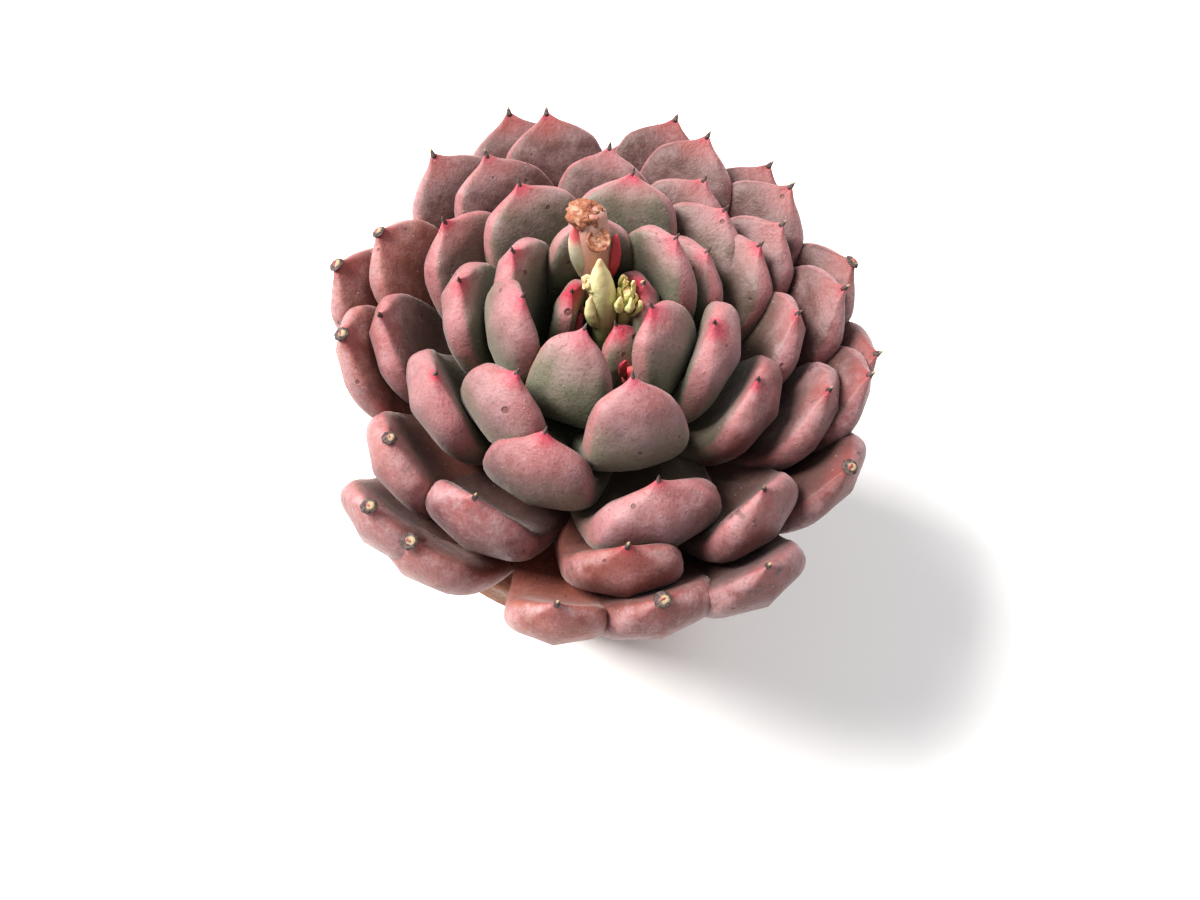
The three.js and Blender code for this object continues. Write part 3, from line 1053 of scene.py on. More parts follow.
    def _bend(self, recipe: Recipe, skins: Value, lines: Value) -> Value:
        """Lays each flat leaf along its own line, as wide and as thick as its form says.

        Args:
            recipe: The tree.
            skins: The flat leaves.
            lines: Their middle lines.

        Returns:
            The bent leaves.
        """
        bench = recipe.bench
        along, cosine, sine = bench.parts(recipe.vector_field("spot"))
        level, third = (self._blunt(bench, part) for part in (cosine, sine))
        lean = recipe.field("lean") * level * recipe.size("Lean", self.lean)
        bent = bench.smooth(along, 0.45, 0.75) * bench.smooth(along, 1.0, 0.86)
        settings = {"mode": "FACTOR", "data_type": "FLOAT"}
        sockets = {"Curves": lines, "Factor": along + lean * bent, "Curve Index": recipe.field("leaf")}
        middle = bench.node("GeometryNodeSampleCurve", settings, sockets, "Position")
        mid_x, _, mid_z = bench.parts(middle)
        head_x, _, head_z = bench.parts(middle.other("Tangent"))

        outwards, sideways = self._compass(recipe)
        inwards = outwards * (head_z * -1) + bench.vector(0.0, 0.0, head_x)
        twist = recipe.size("Twist", self.uneven_twist * DEGREE)
        turn = recipe.field("twist") * twist * along
        side = sideways * bench.math("COSINE", turn) + inwards * bench.math("SINE", turn)

        width = recipe.field("width")
        thick = recipe.field("thick")
        wide = bench.between(recipe.field("wide"), recipe.field("young wide"), recipe.field("young"))
        across = level * width * wide * 0.5
        inner = recipe.size("Inner share", self.inner_share)
        inside = bench.math("GREATER_THAN", third, 0.0)
        share = bench.between(1 - inner, inner, inside)
        thickness = width * recipe.size("Thickness to width", self.thickness_to_width)
        margin = recipe.size("Margin lift", self.margin_lift)
        lift = bench.math("ABSOLUTE", across) * level * level * margin
        ridge = bench.smooth(bench.math("ABSOLUTE", level), 0.5, 0.0)
        ridge = ridge * bench.smooth(along, 0.5, 0.8)
        ridge = ridge * bench.smooth(along, 1.0, 0.93) * recipe.size("Keel", self.keel)
        depth = third * thickness * thick * (share + ridge * (1 - inside)) + lift
        hollow = inside * (1 - level * level)
        depth = depth - hollow * width * thick * recipe.size("Dish", self.dish)
        place = outwards * mid_x + bench.vector(0.0, 0.0, mid_z) + side * across + inwards * depth
        return recipe.move(skins, place)

    def _swell(self, recipe: Recipe, leaves: Value) -> Value:
        """Makes each leaf's skin a little uneven, but calm towards its tip.

        Args:
            recipe: The tree.
            leaves: The bent leaves.

        Returns:
            The swollen leaves.
        """
        bench = recipe.bench
        along, _, _ = bench.parts(recipe.vector_field("spot"))
        here = bench.node("GeometryNodeInputPosition")
        own = recipe.field("leaf")
        sockets = {"Vector": here, "W": own, "Scale": self.undulation_scale, "Detail": 2.0}
        wave = bench.node("ShaderNodeTexNoise", {"noise_dimensions": "4D"}, sockets) - 0.5
        calm = bench.smooth(along, 1.0, 0.85)
        swell = wave * calm * recipe.size("Undulation", self.undulation * 2)
        offset = bench.node("GeometryNodeInputNormal") * swell
        return recipe.shift(leaves, offset)

    def _measure_tip(self, recipe: Recipe, leaves: Value) -> Value:
        """Keeps on each point how far it lies from its own leaf's tip.

        Args:
            recipe: The tree.
            leaves: The finished leaves.

        Returns:
            The leaves, with the distance kept.
        """
        bench = recipe.bench
        outwards, _ = self._compass(recipe)
        here = bench.node("GeometryNodeInputPosition")
        tip_x, _, tip_z = bench.parts(recipe.vector_field("tip"))
        gap = outwards * tip_x + bench.vector(0.0, 0.0, tip_z) - here
        reach = bench.node("ShaderNodeVectorMath", {"operation": "LENGTH"}, {0: gap}, "Value")
        return recipe.store(leaves, "tipward", reach)

    @staticmethod
    def _compass(recipe: Recipe) -> tuple[Value, Value]:
        """The level directions outwards and sideways at each leaf's azimuth.

        Args:
            recipe: The tree.

        Returns:
            The two directions.
        """
        bench = recipe.bench
        azimuth = recipe.field("azimuth")
        cosine, sine = bench.math("COSINE", azimuth), bench.math("SINE", azimuth)
        return bench.vector(cosine, sine, 0.0), bench.vector(sine * -1, cosine, 0.0)

    def _blunt(self, bench: Bench, part: Value) -> Value:
        """A cosine or sine drawn out towards its ends, which makes an ellipse a blunt lens."""
        size = bench.math("ABSOLUTE", part) ** self.margin_power
        return bench.math("SIGN", part) * size

    def _spiral(self, recipe: Recipe) -> Value:
        """Stores on each leaf's point what the golden-angle rule gives for its step.

        Args:
            recipe: The tree.

        Returns:
            A point for each leaf.
        """
        bench = recipe.bench
        step = recipe.field("step")
        age = step / (recipe.size("Leaf count", self.leaf_count) - 1)
        youth = 1 - age
        divergence = recipe.size("Divergence", self.divergence)
        even = recipe.size("First azimuth", self.first_azimuth) - step * divergence
        crowded = bench.math("COSINE", (even - self.crowded_side) * DEGREE)
        crowded = crowded * recipe.size("Crowding", self.crowding)
        azimuth = (even - crowded + recipe.field("turn")) * DEGREE
        root, tip = self._ends(recipe, step, age, youth)
        first, second = self._handles(recipe, root, tip, azimuth, youth)
        numbers = {
            "azimuth": azimuth,
            "width": self._width(recipe, step, age),
            "young": youth**self.pointed_power,
        }
        vectors = {"root": root, "first": first, "second": second, "tip": tip}
        leaves = recipe.points()
        for name, number in numbers.items():
            leaves = recipe.store(leaves, name, number)
        for name, vector in vectors.items():
            leaves = recipe.store(leaves, name, vector, "FLOAT_VECTOR")
        return leaves

    def _width(self, recipe: Recipe, step: Value, age: Value) -> Value:
        """How wide each leaf is: it soon widens from the heart, and slowly from there.

        Args:
            recipe: The tree.
            step: The leaf's step.
            age: Its age.

        Returns:
            The width, in metres.
        """
        bench = recipe.bench
        widening = 1 - bench.math("EXPONENT", step / -self.widening_leaves)
        heart = recipe.size("Heart leaf width", self.heart_leaf_width)
        width = bench.between(heart, recipe.size("Leaf width", self.leaf_width), widening)
        return (width + age * self.outer_extra_width) * recipe.field("breadth")

    def _ends(self, recipe: Recipe, step: Value, age: Value, youth: Value) -> tuple[Value, Value]:
        """Each leaf's root and tip in its own upright plane, x outwards and z up.

        Args:
            recipe: The tree.
            step: The leaf's step.
            age: Its age.
            youth: What its age lacks to 1.

        Returns:
            The root and the tip.
        """
        bench = recipe.bench
        early = step / self.heart_rise_leaf
        rise = early * bench.math("EXPONENT", 1 - early)
        widest = recipe.size("Rosette radius", self.radius)
        heart = recipe.size("Heart radius", self.heart_radius)
        tip_radius = bench.between(widest, heart, youth**self.spread_power)
        tip_height = rise * rise * recipe.size("Heart rise", self.heart_rise) + TIP_LEVEL
        tip_height = tip_height - age**4.0 * recipe.size("Outer drop", self.outer_drop)
        root_height = bench.between(self.stem_top - MM, self.lowest_leaf, age)
        root = bench.vector(age * 2 * MM + MM, 0.0, root_height)
        return root, bench.vector(tip_radius + recipe.field("out"), 0.0, tip_height)

    def _handles(
        self, recipe: Recipe, root: Value, tip: Value, azimuth: Value, youth: Value
    ) -> tuple[Value, Value]:
        """The two handles that bend each leaf's line up, more so at the front.

        Args:
            recipe: The tree.
            root: The leaf's root.
            tip: Its tip.
            azimuth: The way that it points, in radians.
            youth: What its age lacks to 1.

        Returns:
            The handle beyond the root and the one before the tip.
        """
        bench = recipe.bench
        ends = {0: root, 1: tip}
        chord = bench.node("ShaderNodeVectorMath", {"operation": "DISTANCE"}, ends, "Value")
        front = bench.math("SINE", azimuth) * -1
        start = bench.between(self.start_angle, self.heart_start_angle, youth**4.0) * DEGREE
        end = bench.between(self.tip_angle, self.heart_tip_angle, youth**self.tip_angle_power)
        young_leaning = youth * recipe.size("Young leaning", self.young_leaning)
        leaning = recipe.size("Leaning", self.leaning) + young_leaning
        end = (end + front * leaning) * DEGREE
        handle = front * youth * recipe.size("Leaning handle", self.leaning_handle)
        first = root + self._direction(bench, start) * (chord * self.root_handle)
        second = tip - self._direction(bench, end) * (chord * (handle + self.tip_handle))
        return first, second

    @staticmethod
    def _direction(bench: Bench, angle: Value) -> Value:
        """The direction at an angle up from level, in the leaf's upright plane."""
        return bench.vector(bench.math("COSINE", angle), 0.0, bench.math("SINE", angle))

    def _lines(self, recipe: Recipe, leaves: Value) -> Value:
        """Each leaf's middle line in its own upright plane, x outwards and z up.

        Args:
            recipe: The tree.
            leaves: A point for each leaf.

        Returns:
            The lines.
        """
        bench = recipe.bench
        ends = {"Start": (0, 0, 0), "End": (1, 0, 0)}
        line = bench.node("GeometryNodeCurvePrimitiveLine", None, ends)
        sockets = {"Curve": line, "Count": self.line_steps}
        line = bench.node("GeometryNodeResampleCurve", None, sockets)
        lines = recipe.place(leaves, line)
        t = bench.node("GeometryNodeSplineParameter")
        s = 1 - t
        corners = [recipe.vector_field(name) for name in ("root", "first", "second", "tip")]
        weights = [s * s * s, s * s * t * 3, s * t * t * 3, t * t * t]
        place = corners[0] * weights[0]
        for corner, weight in zip(corners[1:], weights[1:]):
            place = place + corner * weight
        return recipe.move(lines, place)

    def build(self) -> None:
        """Builds and dresses the leaves and their points."""
        table = self.table()
        start = mesh_of("leaf_points", np.zeros((len(table["step"]), 3)), [], table)
        pattern = self.pattern_leaf()
        recipe = self.recipe(LeafFinish().make(), pattern)
        mesh = recipe.work(new_object("leaf_points", start))
        bpy.data.objects.remove(pattern)
        close_outwards(mesh)
        mesh.shade_smooth()
        # Openness to the sky, which the leaf paint turns into painted shade and painted light as well as
        # blush.
        keep_field(mesh, "sun", Sky().openness(mesh))
        leaves = new_object("rosette_leaves", mesh)
        dress(leaves, "leaf", "rosette")
        self.build_points(mesh, table)

    def build_points(self, mesh: Mesh, table: Fields) -> None:
        """Sets a dried spine or stub on each leaf's tip.

        Args:
            mesh: The finished leaves.
            table: The leaves' facts.
        """
        size = len(self.skin().spots())
        points = points_of(mesh).reshape(-1, size, 3)
        tips = points[:, -1]
        below = points[:, -1 - 3 * self.sides : -1].mean(1)
        headings = tips - below
        headings /= np.linalg.norm(headings, axis=1)[:, None]
        age = table["step"] / (self.leaf_count - 1)
        fields = {
            "heading": headings,
            "big": self.young_spine + (1 - self.young_spine) * age,
            "stub": np.isin(table["step"], self.stubbed).astype(float),
            "pale": np.clip(age * 1.1 - 0.2, 0, 1),
        }
        base = mesh_of("tip_points", tips - headings * self.spine_depth, [], fields)
        spine = self.pattern_spine()
        recipe = Recipe("leaf_points")
        bench = recipe.bench
        sockets = {"Vector": recipe.vector_field("heading")}
        turn = bench.node("FunctionNodeAlignRotationToVector", {"axis": "Z"}, sockets)
        big, stub = recipe.field("big"), recipe.field("stub")
        wide = big * (stub * self.stub_breadth + recipe.size("Spine width", self.spine_width))
        tall = recipe.size("Spine height", self.spine_height) - recipe.field("pale") * self.pale_drop
        tall = big * (tall - stub * self.stub_drop)
        size = bench.vector(wide, wide, tall)
        placed = recipe.place(recipe.points(), recipe.shape("Spine", spine), turn, size)
        recipe.end(placed, SpineFinish().make())
        spines = new_object("leaf_spines", recipe.work(new_object("tip_points", base)))
        bpy.data.objects.remove(spine)
        spines.data.shade_smooth()
        dress(spines, "leaf")

    def pattern_spine(self) -> Piece:
        """A short bent cone, upright at the origin.

        Returns:
            The spine.
        """
        skin = Skin([along for along, _ in self.spine_profile], self.spine_sides)
        spots = skin.spots()
        radius = spline(self.spine_profile, spots[:, 0])[:, 0]
        bend = self.spine_bend * spots[:, 0] ** 2
        x = radius * spots[:, 1] * MM + bend
        y = radius * spots[:, 2] * MM
        points = np.stack([x, y, self.spine_length * spots[:, 0]], 1)
        mesh = mesh_of("pattern_spine", points, skin.faces(), {"spot": spots})
        return new_object("pattern_spine", close_outwards(mesh))


class Draws:
    """A repeatable row of numbers between -1 and 1, each made from the one before."""

    factor = 1664525
    step = 1013904223
    range = 4294967296

    def __init__(self, seed: int) -> None:
        """Starts the row."""
        self.drawn = seed

    def next(self) -> float:
        """The next number."""
        self.drawn = (self.drawn * self.factor + self.step) % self.range
        return self.drawn / self.range * 2 - 1


# The sprouts in the heart


class Parts:
    """Closed skins gathered into one mesh, with their attributes."""

    def __init__(self) -> None:
        """Starts with nothing."""
        self.points: list[np.ndarray] = []
        self.faces: list[list[int]] = []
        self.fields: dict[str, list[np.ndarray]] = {"spot": [], "pink": [], "dry": []}

    def add(self, points: np.ndarray, skin: Skin, pink: float = 0, dry: float = 0) -> None:
        """Adds a skin.

        Args:
            points: Its points, in metres.
            skin: The skin that they belong to.
            pink: How crimson it is.
            dry: How dried up it is.
        """
        start = sum(len(part) for part in self.points)
        self.points.append(points)
        self.faces += [[start + corner for corner in face] for face in skin.faces()]
        self.fields["spot"].append(skin.spots())
        self.fields["pink"].append(np.full(len(points), pink))
        self.fields["dry"].append(np.full(len(points), dry))

    def complete(self, name: str, finish: "SproutFinish", slot: str, *nodes: str) -> None:
        """Makes the parts one dressed piece.

        Args:
            name: The piece's name.
            finish: Its finish.
            slot: The record's material slot.
            nodes: The solids that it stands for.
        """
        fields = {key: np.concatenate(values) for key, values in self.fields.items()}
        mesh = close_outwards(mesh_of(name, np.concatenate(self.points), self.faces, fields))
        mesh.materials.append(finish.make())
        dress(new_object(name, mesh), slot, *nodes)


def crumple(points: np.ndarray, size: float, depth: float) -> np.ndarray:
    """Points moved by soft noise, in folds of about a size apart and up to a depth deep."""
    return points + np.array([noise_vector(Vector(point / size)) for point in points]) * depth


def drawn_line(stops: np.ndarray, places: np.ndarray) -> np.ndarray:
    """A smooth curve through stops.

    Args:
        stops: The stops, as rows of numbers.
        places: Shares of the way from the first stop to the last.

    Returns:
        The curve's numbers at the places, a row for each.
    """
    at = places * (len(stops) - 1)
    low = np.minimum(at.astype(int), len(stops) - 2)
    t = (at - low)[:, None]
    padded = np.vstack([2 * stops[0] - stops[1], stops, 2 * stops[-1] - stops[-2]])
    a, b, c, d = (padded[low + i] for i in range(4))
    curve = 2 * b + (c - a) * t + (2 * a - 5 * b + 4 * c - d) * t**2
    return 0.5 * (curve + (3 * b - 3 * c + d - a) * t**3)


@dataclass(frozen=True)
class Limb:
    """A round stem up a line of stops: x, y, height over the tips and radius, in millimetres.

    Each row of its end gives a radius and how far it lies past the last stop, both as shares of
    the radius at that stop.
    """

    line: tuple
    sides: int = 28
    steps: int = 40
    end: tuple = ((0.94, 0.1), (0.76, 0.3), (0.45, 0.46))
    peak: float = 0.04
    fold_size: float = 0.7 * MM

    def add_to(self, parts: Parts, pink: float = 0, dry: float = 0, fold: float = 0) -> None:
        """Adds the stem to a sprout.

        Args:
            parts: The sprout.
            pink: How crimson it is.
            dry: How dried up it is.
            fold: How deep its skin is folded, in metres.
        """
        shares = [[0], np.linspace(0, 1, self.steps), np.ones(len(self.end) + 1)]
        shares = np.concatenate(shares)
        skin = Skin(np.linspace(0, 1, len(shares)), self.sides)
        centre = drawn_line(np.array(self.line, float) * MM, shares)
        heading, across, third = self._frames(shares)
        last = centre[-1, 3]
        radius = centre[:, 3].copy()
        lift = np.zeros(len(shares))
        for row, (share, height) in enumerate(self.end, self.steps + 1):
            radius[row] = last * share
            lift[row] = last * height
        lift[-1] = last * (self.end[-1][1] + self.peak)
        spots = skin.spots()
        row = np.round(spots[:, 0] * (len(shares) - 1)).astype(int)
        level, deep = radius[row] * spots[:, 1], radius[row] * spots[:, 2]
        points = centre[row, :3] + heading[row] * lift[row, None]
        points += across[row] * level[:, None] + third[row] * deep[:, None]
        points[:, 2] += TIP_LEVEL
        if fold:
            points = crumple(points, self.fold_size, fold)
        parts.add(points, skin, pink, dry)

    def _frames(self, shares: np.ndarray) -> tuple[np.ndarray, np.ndarray, np.ndarray]:
        """The way the line heads and the two ways across it.

        Args:
            shares: Shares of the way along it.

        Returns:
            Three rows of unit vectors.
        """
        stops = np.array(self.line, float) * MM
        step = 0.01
        ahead = drawn_line(stops, np.minimum(shares + step, 1))
        behind = drawn_line(stops, np.maximum(shares - step, 0))
        heading = (ahead - behind)[:, :3]
        heading /= np.linalg.norm(heading, axis=1)[:, None]
        across = np.array([0.0, 1, 0]) - heading * heading[:, 1:2]
        across /= np.linalg.norm(across, axis=1)[:, None]
        return heading, across, np.cross(heading, across)


@dataclass(frozen=True)
class Bract:
    """A small pointed blade: its root, tip, width and the azimuth that its back faces."""

    root: Place
    tip: Place
    width: float
    facing: float
    thickness: float = 0.75
    bow: float = 0.8
    form: tuple = ((0, 0), (0.03, 0.6), (0.35, 1), (0.65, 0.85), (0.9, 0.35), (1, 0))
    cup: float = 0.35
    full_width: float = 0.25 * MM
    fold_size: float = 0.8 * MM
    rows: int = 24
    sides: int = 16

    def add_to(self, parts: Parts, pink: float = 0, dry: float = 0, fold: float = 0) -> None:
        """Adds the blade to a sprout.

        Args:
            parts: The sprout.
            pink: How crimson it is.
            dry: How dried up it is.
            fold: How deep its skin is folded, in metres.
        """
        skin = Skin(np.linspace(0, 1, self.rows), self.sides)
        spots = skin.spots()
        along = spots[:, 0]
        start, end = np.array(self.root) * MM, np.array(self.tip) * MM
        run = end - start
        heading = run / np.linalg.norm(run)
        azimuth = self.facing * DEGREE
        back = np.array([math.cos(azimuth), math.sin(azimuth), 0])
        back -= heading * back.dot(heading)
        back /= np.linalg.norm(back)
        side = np.cross(back, heading)
        wide = spline(self.form, along)[:, 0] * self.width / 2 * MM
        bow = self.bow * MM * np.sin(math.pi * along) - self.cup * wide * spots[:, 1] ** 2
        deep = self.thickness / 2 * MM * np.sqrt(np.clip(wide / self.full_width, 0, 1))
        points = start + along[:, None] * run + back * (bow + deep * spots[:, 2])[:, None]
        points += side * (wide * spots[:, 1])[:, None]
        points[:, 2] += TIP_LEVEL
        if fold:
            points = crumple(points, self.fold_size, fold)
        parts.add(points, skin, pink, dry)


@dataclass(frozen=True)
class SproutFinish(Finish):
    """Tender or dried growth, from its foot to its tip, with crimson and dry parts."""

    name: str
    foot: Tone
    body: Tone
    tip: Tone
    tip_start: float = 0.85
    crimson: Tone = (0.5, 0.07, 0.1)
    dried: Tone = (0.4, 0.165, 0.095)
    scorched: Tone = (0.17, 0.05, 0.034)
    straw: Tone = (0.6, 0.36, 0.25)
    relief: float = 0.25 * MM

    def make(self) -> Material:
        """Makes the material.

        Returns:
            The material.
        """
        constants = {
            "Specular IOR Level": 0.3,
            "Subsurface Weight": 0.2,
            "Subsurface Radius": (1.0, 0.6, 0.35),
            "Subsurface Scale": 1.2 * MM,
        }
        material, paint = self.material(self.name, constants)
        place = paint.place()
        along, _, _ = paint.parts(paint.named("spot", "Vector"))
        pink, dry = paint.named("pink"), paint.named("dry")
        cloud = paint.noise(place, 700, 4, 0.6)
        grain = paint.noise(place, 3500, 5, 0.7)
        reach = along + (cloud - 0.5) * 0.12
        paint.colour = paint.blend(paint.smooth(reach, 0.25, 0.75), self.foot, self.body)
        paint.lay(paint.smooth(reach, self.tip_start - 0.12, self.tip_start + 0.08), self.tip)
        flushed = paint.smooth(pink + cloud * 0.5 + (reach - 0.6) * 0.6, 0.75, 1.0)
        paint.lay(flushed * paint.smooth(pink, 0.0, 0.3), self.crimson)
        husk = paint.blend(paint.smooth(grain, 0.3, 0.62), self.scorched, self.dried)
        husk = paint.blend(paint.smooth(cloud, 0.5, 0.7), husk, self.straw)
        paint.lay(paint.smooth(dry + (cloud - 0.5) * 0.5, 0.35, 0.65), husk)
        paint.lay(paint.smooth(grain, 0.62, 0.75) * 0.25, self.straw)
        rough = paint.smooth(dry, 0, 1, 0.5, 0.85)
        relief = grain * (dry * 0.8 + 0.2) + cloud * 0.5
        paint.surface(rough, relief, self.relief)
        return material


@dataclass
class FlowerStalk:
    """The stump of the old flower stalk, with its scar, its dried end and two bracts."""

    stem: Limb = Limb(
        (
            (-0.2, 2, -15, 1.4), (-0.5, 3.1, -6, 1.7), (-1, 4.2, 2.4, 1.9),
            (-1.6, 5.2, 7.8, 2.1), (-2.1, 6.5, 11, 1.9),
        )
    )
    stub: Limb = Limb(
        ((-1.5, 5.2, 7, 1.2), (-1.1, 4.1, 9, 1.3), (-0.9, 3.6, 9.9, 1.35)),
        steps=16,
        end=(
            (1.06, 0.08), (0.98, 0.2), (0.86, 0.16), (0.76, 0.05), (0.64, 0.12), (0.52, 0.02),
            (0.4, 0.08), (0.26, -0.06), (0.12, 0.04),
        ),
    )
    pale_bract: Bract = Bract((-2.4, 3.8, 1.6), (-3.8, 4.9, 10.8), 2.9, 235)
    crimson_bract: Bract = Bract((0.4, 4, 0.5), (1.1, 5.2, 9.4), 1.9, 320)
    scab_place: Place = (-2.65, 6.2, 11.05)
    scab_size: Place = (2.45, 2.15, 1.4)
    scab_ridges: Place = (1.0, 1.6, 2.0)
    scab_base: float = 0.68
    scab_depth: float = 0.2
    crease_size: float = 0.9 * MM
    crease_depth: float = 0.25 * MM
    finish: SproutFinish = SproutFinish(
        "old_stalk", foot=(0.34, 0.2, 0.15), body=(0.5, 0.28, 0.23), tip=(0.52, 0.3, 0.25),
        tip_start=1.2,
    )
    bract_finish: SproutFinish = SproutFinish(
        "stalk_bract", foot=(0.4, 0.44, 0.3), body=(0.6, 0.52, 0.4), tip=(0.66, 0.15, 0.16),
        tip_start=0.78,
    )

    def build(self) -> None:
        """Builds and dresses the stalk and its bracts."""
        parts = Parts()
        self.stem.add_to(parts, pink=0.34)
        self.stub.add_to(parts, dry=0.75)
        self._add_scab(parts)
        parts.complete("flower_stalk", self.finish, "stalk", "old_flower_stalk")
        parts = Parts()
        self.pale_bract.add_to(parts)
        self.crimson_bract.add_to(parts, pink=1, fold=0.1 * MM)
        parts.complete("stalk_bracts", self.bract_finish, "stalk")

    def _add_scab(self, parts: Parts) -> None:
        """Adds the crumpled papery husk where the stalk broke off.

        Args:
            parts: The stalk so far.
        """
        skin = Skin(np.linspace(0, 1, 36), 48)
        ball = ball_of(skin, (1.0, 1.0, 1.0))
        places = ball * np.array(self.scab_ridges) + 5
        ridges = [ridged_multi_fractal(Vector(at), 1.0, 2.1, 5, 1.0, 2.0) for at in places]
        swell = self.scab_base + self.scab_depth * np.array(ridges)
        points = ball * np.array(self.scab_size) * swell[:, None] + np.array(self.scab_place)
        points = points * MM + np.array([0, 0, TIP_LEVEL])
        parts.add(crumple(points, self.crease_size, self.crease_depth), skin, dry=1)


@dataclass
class YoungShoot:
    """The pale yellow shoot, with the dried knob at its side and a small leaf at its foot."""

    stem: Limb = Limb(
        (
            (0.4, -0.3, -15, 1.0), (0.5, -0.2, -5, 1.4), (0.2, 0.5, 1.5, 1.7),
            (-0.3, 1.1, 5.5, 1.35), (-0.6, 1.5, 8.6, 0.35),
        ),
        end=((0.85, 0.5), (0.6, 0.9), (0.3, 1.2)),
    )
    knob: Limb = Limb(((-0.2, 1, 3.6, 0.8), (-1.5, 1, 4.7, 0.95), (-2.2, 1.1, 5.3, 0.7)), steps=16)
    side_leaf: Bract = Bract((-0.5, -0.6, -3), (-1.3, -0.2, 3.9), 2.2, 230)
    finish: SproutFinish = SproutFinish(
        "young_shoot", foot=(0.54, 0.56, 0.28), body=(0.8, 0.72, 0.4), tip=(0.75, 0.42, 0.28),
        tip_start=0.93,
    )

    def build(self) -> None:
        """Builds and dresses the shoot."""
        parts = Parts()
        self.stem.add_to(parts, fold=0.1 * MM)
        self.knob.add_to(parts, dry=0.45, fold=0.55 * MM)
        self.side_leaf.add_to(parts, fold=0.1 * MM)
        parts.complete("pale_young_shoot", self.finish, "pale_shoot", "young_shoot")


@dataclass
class SmallShoot:
    """The yellow-green shoot: a short stem under a crinkled cluster of tiny leaves."""

    stem: Limb = Limb(
        (
            (2.2, 0.2, -14.6, 0.7), (2.8, 0.3, -5, 0.8), (3.1, 0.5, 1, 1), (3.1, 0.8, 4, 0.7),
        )
    )
    leaves: tuple = (
        Bract((3.4, 0, 0.4), (4.6, -0.7, 4.4), 1.6, 330),
        Bract((3.5, 1, 0.6), (4.7, 1.9, 4.8), 1.6, 40),
        Bract((2.9, 1.1, 1), (2.5, 2.3, 5.2), 1.5, 115),
        Bract((2.6, 0.2, 0.6), (2.2, -0.6, 4.6), 1.5, 240),
        Bract((3.1, -0.1, 1.4), (3.5, -0.9, 5.2), 1.2, 280),
    )
    blade_count: int = 7
    blade_turn: float = 137.5
    blade_width: float = 1.3
    blade_foot: float = -0.5
    blade_top: float = 6.6
    blade_top_step: float = 0.4
    spread: float = 0.35
    spread_step: float = 0.13
    middle: tuple = (3.1, 0.75)
    finish: SproutFinish = SproutFinish(
        "small_shoot", foot=(0.42, 0.47, 0.2), body=(0.76, 0.72, 0.34), tip=(0.68, 0.4, 0.27),
        tip_start=0.95,
    )

    def build(self) -> None:
        """Builds and dresses the shoot."""
        parts = Parts()
        self.stem.add_to(parts)
        for leaf in self.leaves:
            leaf.add_to(parts, fold=0.15 * MM)
        for number in range(self.blade_count):
            pink = 0.25 * (number % 2)
            self._blade(number).add_to(parts, pink=pink, fold=0.3 * MM)
        parts.complete("crinkled_small_shoot", self.finish, "green_shoot", "small_shoot")

    def _blade(self, number: int) -> Bract:
        """One of the thin blades in the middle, each further out and lower than the last.

        Args:
            number: Which one, from 0.

        Returns:
            The blade.
        """
        angle = number * self.blade_turn * DEGREE
        out = self.spread + self.spread_step * number
        root = self._beside(0.3 * out, angle, self.blade_foot)
        tip = self._beside(1.3 * out, angle, self.blade_top - self.blade_top_step * number)
        return Bract(root, tip, self.blade_width, math.degrees(angle), thickness=0.45, bow=0.3)

    def _beside(self, out: float, angle: float, height: float) -> Place:
        """A place beside the middle of the shoot."""
        x, y = self.middle
        return x + out * math.cos(angle), y + out * math.sin(angle), height


@dataclass
class CrimsonBud:
    """The crimson bud between the inner leaves, of a short stem and pointed scales."""

    stem: Limb = Limb(
        (
            (2, -2.2, -14.6, 0.8), (3.4, -4.6, -8, 1.1), (4.6, -7, -3, 1.3), (5, -8, 0, 0.4),
        )
    )
    scales: tuple = (
        Bract((4.9, -6.2, -4), (6.5, -6.6, 1.8), 1.6, 20),
        Bract((3.9, -6.4, -4), (3.3, -7.8, 2.2), 1.6, 220),
        Bract((4.4, -6.9, -3.4), (4.4, -8.4, 1.4), 1.5, 265),
        Bract((4.8, -6.6, -3.6), (5.7, -8.1, 1), 1.4, 310),
    )
    finish: SproutFinish = SproutFinish(
        "crimson_bud", foot=(0.45, 0.12, 0.12), body=(0.66, 0.13, 0.14), tip=(0.72, 0.1, 0.14),
        tip_start=0.8,
    )

    def build(self) -> None:
        """Builds and dresses the bud."""
        parts = Parts()
        self.stem.add_to(parts)
        for scale in self.scales:
            scale.add_to(parts, pink=0.6, fold=0.12 * MM)
        parts.complete("small_crimson_bud", self.finish, "bud", "crimson_bud")


# The stem, the pot and the soil


@dataclass(frozen=True)
class BarkFinish(Finish):
    """The stem's corky skin."""

    name: str = "corky_stem"
    cork: Tone = (0.3, 0.2, 0.13)
    pale: Tone = (0.48, 0.36, 0.25)
    dark: Tone = (0.1, 0.06, 0.04)

    def make(self) -> Material:
        """Makes the material.

        Returns:
            The material.
        """
        material, paint = self.material(self.name, {"Specular IOR Level": 0.2})
        place = paint.place()
        cloud = paint.noise(place, 350, 5, 0.65)
        grain = paint.noise(place, 2200, 5, 0.7)
        paint.colour = paint.blend(paint.smooth(cloud, 0.3, 0.7), self.cork, self.pale)
        paint.lay(paint.smooth(grain, 0.55, 0.35) * 0.7, self.dark)
        paint.surface(0.9, grain + cloud, 0.3 * MM)
        return material


